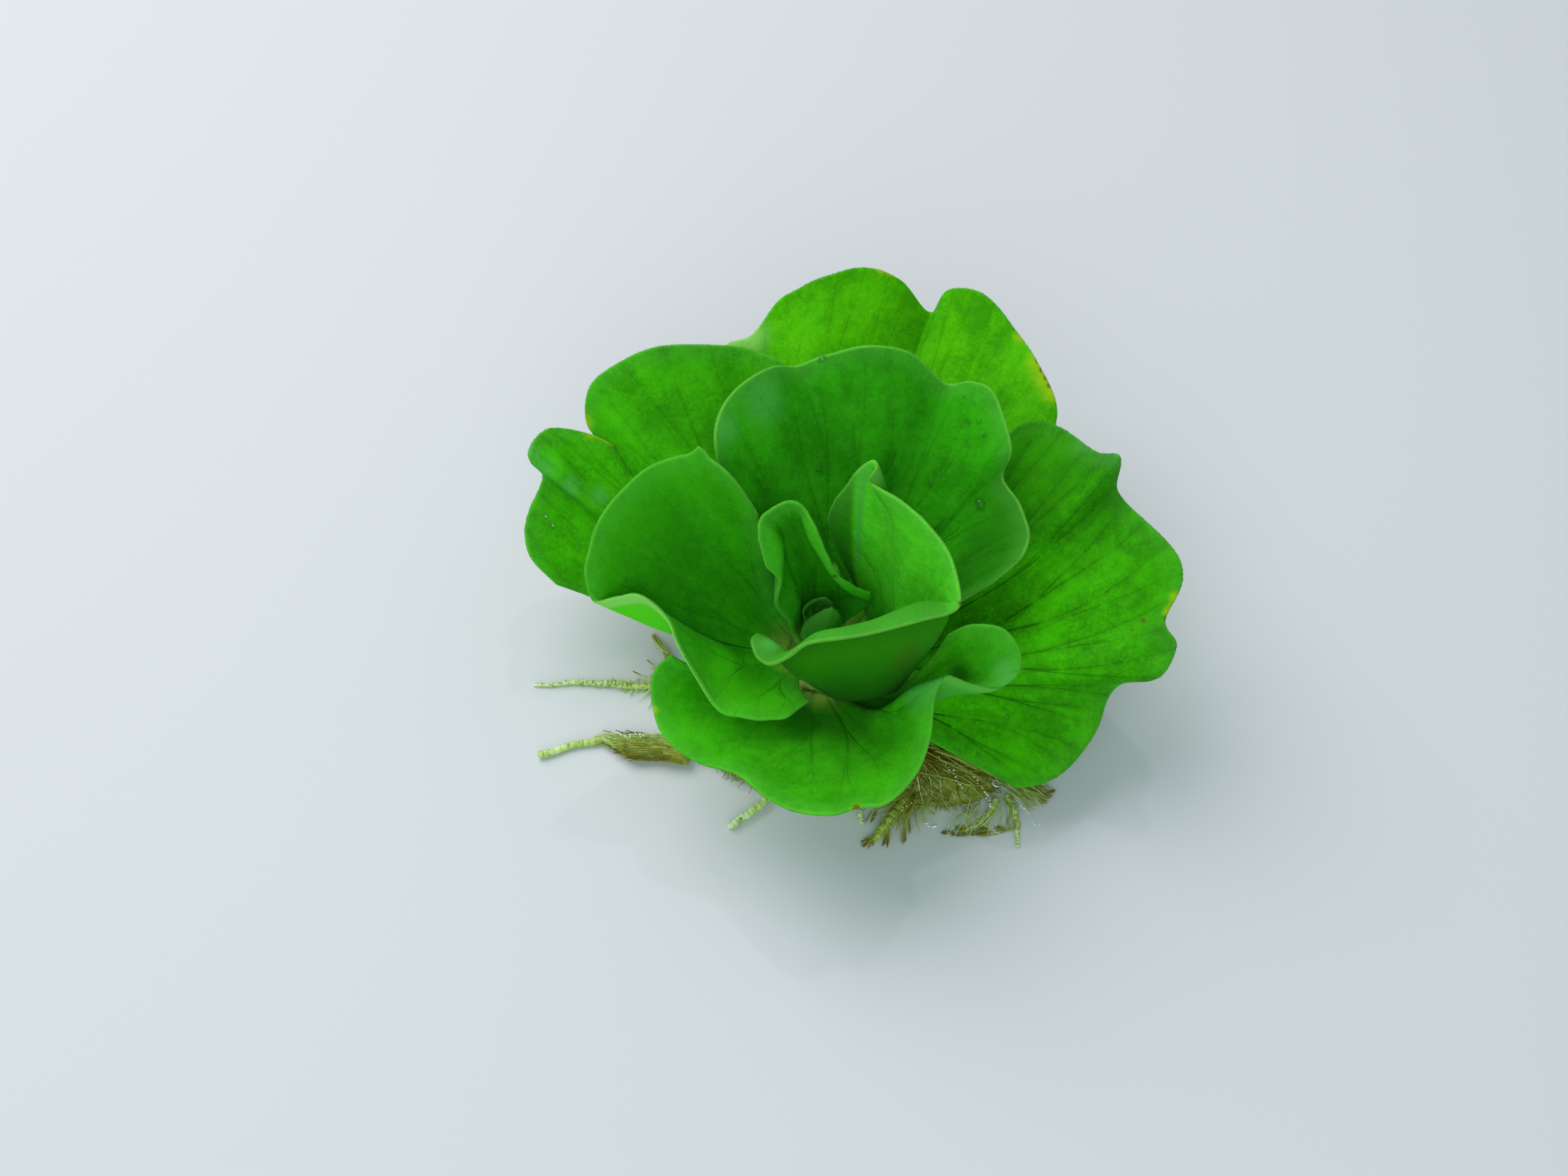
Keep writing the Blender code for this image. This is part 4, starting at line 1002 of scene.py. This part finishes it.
def add_brush(strands, brush, source):
    """A bundle of thin roots, each slightly bowed, from scattered tips to scattered bases."""
    tip, base, count, tip_spread, base_spread, radius, tip_tone, base_tone = brush
    t = np.linspace(0, 1, 10)[:, None]
    for _ in range(count):
        end = np.array(tip) + source.normal(0, 1, 3) * (tip_spread, tip_spread, 0.12 * tip_spread)
        start = np.array(base) + source.normal(0, 1, 3) * (base_spread, base_spread, 0.35 * base_spread)
        length = np.linalg.norm(start - end)
        bow = source.normal(0, 0.05 * length, 3)
        path = end + (start - end) * t + bow * np.sin(math.pi * t)
        path[:, 2] = np.maximum(path[:, 2], radius * 1.1)
        width = radius * source.uniform(0.7, 1.2) * np.clip(0.45 + 2.5 * t[:, 0], 0, 1)
        tones = tip_tone + (base_tone - tip_tone) * np.clip(1.6 * t[:, 0], 0, 1) + source.normal(0, 0.06)
        strands.add(path, width, np.clip(tones, 0, 1), sides=5)


def add_axis(strands, look, source):
    """A knobbly root on the surface, with stubs of side roots round it."""
    thin, thick = look["radius"]
    places = np.linspace(0, 1, 90)
    line = smooth_curve(look["axis"], places)
    length = np.linalg.norm(np.diff(line, axis=0), axis=1).sum()
    radius = thin + (thick - thin) * places**0.6
    radius = radius * (1 + 0.07 * np.sin(length * places * 7.5 + 1.0) + 0.05 * np.sin(length * places * 17))
    from_tip = places * length
    if "bulb" in look:
        radius = np.maximum(radius, look["bulb"] * np.exp(-((from_tip - 0.4) / 0.7) ** 2))
    radius = radius * np.sqrt(np.clip(1 - (1 - np.minimum(from_tip / thin, 1)) ** 2, 0.02, 1))
    tones = look["tone"][0] + (look["tone"][1] - look["tone"][0]) * places
    wander = 0.06 * np.stack((np.sin(places * 19), np.cos(places * 23)), -1)
    path = np.concatenate((line + wander, (radius + 0.04)[:, None]), axis=1)
    strands.add(path, radius, tones, sides=14)

    heading = unit(np.gradient(path, axis=0))
    count, short, long = look["stubs"]
    for _ in range(count):
        at = source.uniform(0.04, 1.0)
        i = min(int(at * 89), 89)
        angle = source.uniform(-0.4, math.pi + 0.4)
        side = unit(np.cross(heading[i], (0, 0, 1)))
        out = math.cos(angle) * side + math.sin(angle) * np.array((0, 0, 1.0))
        reach = (short + (long - short) * at**1.5) * source.uniform(0.5, 1.2)
        direction = out - heading[i] * source.uniform(0.1, 0.9)
        strand = bent(path[i] + out * radius[i] * 0.75, direction, reach + 0.25 * radius[i], 0.1, 3, source, 0.1)
        tone = np.linspace(tones[i], tones[i] + source.uniform(0, 0.45), 4)
        strands.add(strand, 0.07 * np.array((1.3, 1.0, 0.8, 0.45)), np.clip(tone, 0, 1), sides=5)


def add_sleeve(strands, sleeve, source):
    """A wet bundle of side roots lying along an axis: a smooth body with fibres flush on it."""
    along = np.linspace(0, 1, 60)
    centre = smooth_curve(sleeve, along)
    radius = centre[:, 2] * np.sqrt(np.clip(along / 0.03, 0.05, 1))
    ring = np.linspace(0, 2 * math.pi, 40, endpoint=False)
    ahead = unit(np.gradient(centre * (1, 1, 0), axis=0))
    side = np.cross(ahead, (0, 0, 1))
    ripple = 1 + 0.05 * np.sin(4 * ring[None] + 21 * along[:, None]) + 0.04 * np.sin(9 * ring[None] - 37 * along[:, None])
    ripple = ripple + 0.03 * np.sin(5 * ring[None] + 90 * along[:, None])
    wide = radius[:, None] * np.cos(ring)[None] * ripple
    high = 0.55 * radius[:, None] * (np.sin(ring)[None] + 1) * ripple
    body = centre[:, None] * (1, 1, 0) + side[:, None] * wide[..., None]
    body[..., 2] = high + 0.04
    near_camera = 0.5 + 0.5 * np.cos(ring)[None]
    tones = 0.10 + 0.46 * near_camera * np.clip(3 * along[:, None] - 0.5, 0, 1)
    tones = tones + 0.10 * np.sin(6 * ring[None] + 13 * along[:, None]) * np.sin(17 * along[:, None])
    strands.add_sheet(body, np.clip(tones, 0, 1))
    for _ in range(330):
        i, length = source.integers(2, 46), source.integers(6, 14)
        j = source.integers(0, 21) + np.cumsum(source.normal(0, 0.16, length))
        steps = np.arange(i, i + length)
        path = body[steps, np.round(j).astype(int) % 40] + (0, 0, 0.0)
        lift = 0.02 + 0.05 * np.sin(np.linspace(0, math.pi, length))
        path = path + unit(path - centre[steps] * (1, 1, 0)) * lift[:, None]
        path[:, 2] = np.maximum(path[:, 2], 0.05)
        tone = source.choice((-0.10, 0.0, 0.08, 0.35), p=(0.35, 0.45, 0.17, 0.03))
        shade = np.clip(tones[steps, np.round(j).astype(int) % 40] + tone, 0, 1)
        strands.add(path, source.uniform(0.035, 0.07), shade, sides=4)
    for _ in range(30):
        i = source.integers(8, 44)
        j = source.choice((0, 1, 19, 20))
        direction = -ahead[i] + side[i] * (0.10 if j < 5 else -0.10) * source.uniform(0, 1.4)
        strand = bent(body[i, j] + (0, 0, 0.1), direction, source.uniform(0.5, 1.5), 0.03, 4, source, 0.08)
        strands.add(strand, 0.05, source.choice((0.35, 0.9, 0.95)), sides=4)


def build_root(name, look, material):
    source = np.random.default_rng(sum(map(ord, name)))
    strands = Strands()
    if "axis" in look:
        add_axis(strands, look, source)
    if "sleeve" in look:
        add_sleeve(strands, look["sleeve"], source)
    for brush in look.get("brushes", ()):
        add_brush(strands, brush, source)
    obj = strands.finish(name + "_fine", material)
    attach(obj, BODY)
    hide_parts(name)


def mat_reach(angle):
    count = len(MAT_REACH)
    where = (angle / (2 * math.pi) * count) % count
    i = np.floor(where).astype(int)
    near = [np.asarray(MAT_REACH)[(i + k) % count] for k in (-1, 0, 1, 2)]
    w = where - i
    before, start, end, after = near
    swing = (end - before) * w + (2 * before - 5 * start + 4 * end - after) * w * w
    return start + 0.5 * (swing + (3 * start - before - 3 * end + after) * w**3)


def mat_height(angle, share):
    """Height of the mound at this share of its reach."""
    lumps = np.sin(5 * angle + 6 * share) * np.sin(9 * share - 2 * angle)
    dome = np.sqrt(np.clip(1 - share**2, 0, 1)) ** 1.1
    return (MAT_HEIGHT - 0.25 + 0.3 * lumps * share) * dome


def mat_tone(share):
    """Dark near the crown, olive towards the rim."""
    step = np.clip((np.asarray(share, float) - 0.45) / 0.45, 0, 1)
    return 0.95 - 0.52 * step * step * (3 - 2 * step)


def build_mat(material):
    """The felt: a lumpy body, and fibres that run out over it from the crown."""
    source = np.random.default_rng(11)
    strands = Strands()
    ring = np.linspace(0, 2 * math.pi, 150, endpoint=False)
    share = np.concatenate((np.linspace(0.02, 0.9, 34), (0.94, 0.965, 0.98)))
    angle, part = np.meshgrid(ring, share)
    fuzz = 0.07 * np.sin(31 * angle + 9 * part) + 0.05 * np.sin(53 * angle - 13 * part)
    reach = mat_reach(angle) * part * 0.97
    height = mat_height(angle, part) + fuzz * part - 0.12
    top = np.stack((reach * np.cos(angle), reach * np.sin(angle), np.maximum(height, 0.05)), -1)
    below = top[::-1].copy()
    below[..., 2] = 0.02
    uneven = 0.10 * np.sin(7 * angle + 5 * part) * np.sin(4 * angle - 9 * part)
    tones = np.clip(mat_tone(part) + uneven, 0, 1)
    strands.add_sheet(np.concatenate((top, below)), np.concatenate((tones, tones[::-1])))

    t = np.linspace(0, 1, MAT_FIBRE_RINGS)
    for _ in range(MAT_FIBRES):
        angle = source.uniform(0, 2 * math.pi)
        start = source.uniform(0.10, 0.75)
        end = min(start + source.uniform(0.15, 0.5), 1.0)
        where = start + (end - start) * t
        turned = angle + source.normal(0, 0.12) * t + 0.02 * np.sin(t * 9 + source.uniform(0, 6))
        reach = mat_reach(turned) * where * 0.985
        height = mat_height(turned, np.minimum(where, 0.999)) + source.uniform(-0.13, 0.03)
        height = height + 0.06 * np.sin(t * math.pi)
        path = np.stack((reach * np.cos(turned), reach * np.sin(turned), np.maximum(height, 0.08)), -1)
        shift = source.choice((-0.45, -0.2, -0.05, 0.1, 0.25), p=(0.07, 0.2, 0.33, 0.25, 0.15))
        width = source.uniform(0.04, 0.09) * (1 - 0.5 * t)
        strands.add(path, width, np.clip(mat_tone(where) + shift, 0, 1), sides=4)

    for _ in range(MAT_HAIRS):
        angle = source.uniform(0, 2 * math.pi)
        part = source.uniform(0.75, 0.985)
        reach = mat_reach(angle) * part
        start = (reach * math.cos(angle), reach * math.sin(angle), max(float(mat_height(angle, part)) - 0.1, 0.1))
        turn = angle + source.normal(0, 0.6)
        direction = (math.cos(turn), math.sin(turn), source.uniform(-0.3, 0.1))
        tone = source.choice((0.85, 0.55, 0.3, 0.1), p=(0.2, 0.25, 0.3, 0.25))
        strand = bent(start, direction, source.uniform(0.4, 1.1), 0.1, 3, source)
        strands.add(strand, source.uniform(0.025, 0.05), tone, sides=3)
    for brush in PALE_STRANDS:
        add_brush(strands, brush, source)
    obj = strands.finish("root_mat_fine", material)
    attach(obj, BODY)
    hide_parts("root_mat")


def build_root_bases(material):
    """Roots that leave the crown's underside and go down into the felt."""
    source = np.random.default_rng(5)
    strands = Strands()
    for k in range(34):
        angle = k * 2.4 + source.normal(0, 0.1)
        reach = source.uniform(3.2, 5.2)
        points = polar(math.degrees(angle), np.array((2.4, 3.1, reach, reach + 1.6)), np.array((4.9, 4.5, 3.5, 2.6)))
        path = smooth_curve(points, np.linspace(0, 1, 12))
        path[:, :2] += source.normal(0, 0.03, (12, 2))
        strands.add(path, source.uniform(0.22, 0.36), np.linspace(0.05, 0.5, 12), sides=8)
    obj = strands.finish("root_bases", material)
    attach(obj, BODY)


def crown_material():
    """Fleshy pale green with leaf-scar rings, browner below."""
    n = Nodes("crown_flesh")
    spot = n.new("ShaderNodeTexCoord").outputs["Object"]
    parts = n.new("ShaderNodeSeparateXYZ")
    n.put(parts.inputs[0], spot)
    height = parts.outputs[2]
    rings = n.math("SINE", n.math("ADD", n.math("MULTIPLY", height, 9000.0), n.math("MULTIPLY", n.noise(spot, 300.0), 9.0)))
    patches = n.noise(spot, 500.0, 4.0)
    colour = n.mix(n.ramp(patches, 0.35, 0.65), (0.36, 0.54, 0.07), (0.62, 0.74, 0.20))
    colour = n.mix(n.ramp(rings, 0.5, 1.0, 0.0, 0.25), colour, (0.16, 0.16, 0.03))
    colour = n.mix(n.ramp(height, 0.0035, 0.0050, 0.8, 0.0), colour, (0.10, 0.07, 0.025))
    n.surface(Base_Color=colour, Roughness=n.ramp(patches, 0.3, 0.7, 0.3, 0.5))
    n.surface(Normal=n.bump(n.math("ADD", rings, patches), 0.00012, 0.6))
    n.surface(Subsurface_Weight=0.2, Subsurface_Scale=0.001, Coat_Weight=0.2, Coat_Roughness=0.15)
    return n.material


def bead_rings(radius):
    """A squat bead as rings about +Z, its foot cut where it sits on the leaf."""
    turn = np.linspace(0, 2 * math.pi, 20, endpoint=False)
    tilt = np.linspace(math.radians(4), math.radians(110), 12)
    rings = [
        np.stack((np.sin(t) * np.cos(turn), np.sin(t) * np.sin(turn), np.full(20, 0.70 * math.cos(t))), -1)
        for t in tilt
    ]
    return np.array(rings) * radius


def build_drops(sheets):
    """Beads of water on the leaves, each set on the upper face where its leaf carries it."""
    strands = Strands()
    for name, across, out, radius in DROPS:
        sheet = sheets[name]
        centre = sheet.spot(across, out)
        along = sheet.spot(across, out) - sheet.spot(across, out - 0.02)
        over = sheet.spot(min(across + 0.01, 1), out) - sheet.spot(across - 0.01, out)
        normal = unit(np.cross(over, along))
        side = unit(over)
        other = np.cross(normal, side)
        shape = bead_rings(radius)
        thin = THICKNESS[1] / 2
        place = centre + normal * (thin + 0.20 * radius)
        strands.add_sheet(place + shape[..., :1] * side + shape[..., 1:2] * other + shape[..., 2:] * normal, 0.0)
    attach(strands.finish("water_drops", water_material()), BODY)


def water_material():
    n = Nodes("water_bead")
    n.surface(Base_Color=(1.0, 1.0, 1.0), Roughness=0.02, IOR=1.33, Transmission_Weight=1.0)
    return n.material


def build_glints():
    """White beads strung along the wet roots that paint glints, and one larger clear bead of water."""
    source = np.random.default_rng(21)
    strands = Strands()
    up = np.array((0.0, 0.0, 1.0))
    for start, end, count, radius in GLINTS:
        for place in np.linspace(start, end, count) + source.normal(0, 0.09, (count, 3)) * (1, 1, 0.3):
            shape = bead_rings(radius * source.uniform(0.6, 1.3))
            shape[..., 0] *= source.uniform(0.7, 1.5)
            strands.add_sheet(place + shape, 0.0)
    # The small beads are a glossy white: painted glints.
    n = Nodes("painted_glint")
    n.surface(Base_Color=(0.93, 0.96, 0.95), Roughness=0.10, Specular_IOR_Level=0.8)
    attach(strands.finish("root_glints", n.material), BODY)
    bead = Strands()
    bead.add_sheet(np.array(BALL_DROP[:3]) + bead_rings(BALL_DROP[3]) + up * 0.1, 0.0)
    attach(bead.finish("ball_drop", water_material()), BODY)


def build_stage():
    """A plain pale floor."""
    mesh = bpy.data.meshes.new("floor")
    half = 1.6
    mesh.from_pydata([(-half, -half, 0), (half, -half, 0), (half, half, 0), (-half, half, 0)], [], [(0, 1, 2, 3)])
    n = Nodes("floor")
    n.surface(Base_Color=(0.615, 0.625, 0.645), Roughness=0.6, Specular_IOR_Level=0.25)
    floor = link("floor", mesh, n.material)


def area_light(name, place, target, size, power, colour):
    light = bpy.data.lights.new(name, "AREA")
    light.shape = "DISK"
    light.size = size
    light.energy = power
    light.color = colour
    obj = bpy.data.objects.new(name, light)
    bpy.context.scene.collection.objects.link(obj)
    aim(obj, place, target)


def aim(obj, place, target):
    from mathutils import Vector
    obj.location = Vector(place)
    obj.rotation_euler = (Vector(target) - Vector(place)).to_track_quat("-Z", "Y").to_euler()


def build_light():
    world = bpy.data.worlds.new("studio")
    bpy.context.scene.world = world
    world.use_nodes = True
    background = world.node_tree.nodes["Background"]
    background.inputs["Color"].default_value = (0.80, 0.96, 0.99, 1.0)
    background.inputs["Strength"].default_value = 0.48
    area_light("key", (-0.22, 0.22, 0.40), (0, 0, 0.01), 0.50, 1.92, (1.0, 0.95, 0.98))
    area_light("fill", (-0.06, -0.42, 0.30), (0, 0, 0.01), 0.50, 1.05, (0.84, 1.0, 0.96))
    area_light("sparkle", (0.05, 0.22, 0.40), (0, 0, 0.01), 0.015, 0.10, (1.0, 1.0, 1.0))
    bpy.context.scene.view_settings.view_transform = "Standard"


def build_camera():
    camera = bpy.data.cameras.new("camera")
    camera.lens = LENS
    camera.sensor_width = SENSOR
    camera.clip_start = 0.005
    obj = bpy.data.objects.new("camera", camera)
    bpy.context.scene.collection.objects.link(obj)
    aim(obj, [v * MM for v in EYE], [v * MM for v in TARGET])
    bpy.context.scene.camera = obj


def corners(box):
    return [[float(v) for v in corner] for corner in box]


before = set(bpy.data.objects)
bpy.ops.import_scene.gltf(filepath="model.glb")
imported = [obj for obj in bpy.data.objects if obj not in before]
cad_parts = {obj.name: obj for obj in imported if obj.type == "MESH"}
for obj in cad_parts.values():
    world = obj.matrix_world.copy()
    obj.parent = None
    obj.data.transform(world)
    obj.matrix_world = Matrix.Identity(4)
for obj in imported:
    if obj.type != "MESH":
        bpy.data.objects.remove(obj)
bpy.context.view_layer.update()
build_camera()
build_light()
build_stage()
sheets = {}
for leaf_name in LEAVES:
    if leaf_name.startswith("bud"):
        build_leaf(leaf_name, BUD_THICKNESS)
    elif leaf_name in ("leaf_back", "leaf_right", "leaf_left", "leaf_front"):
        sheets[leaf_name] = build_leaf(leaf_name, THICKNESS)[0]
    else:
        sheets[leaf_name] = build_leaf(leaf_name, THICKNESS)[0]
felt = root_material("root_felt_wet", 0.5)
root_skin = root_material("root_skin", 0.35)
for root_name, root_look in ROOTS.items():
    build_root(root_name, root_look, root_skin)
build_mat(felt)
build_root_bases(root_skin)
build_drops(sheets)
build_glints()
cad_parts["crown"].data.materials.clear()
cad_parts["crown"].data.materials.append(crown_material())
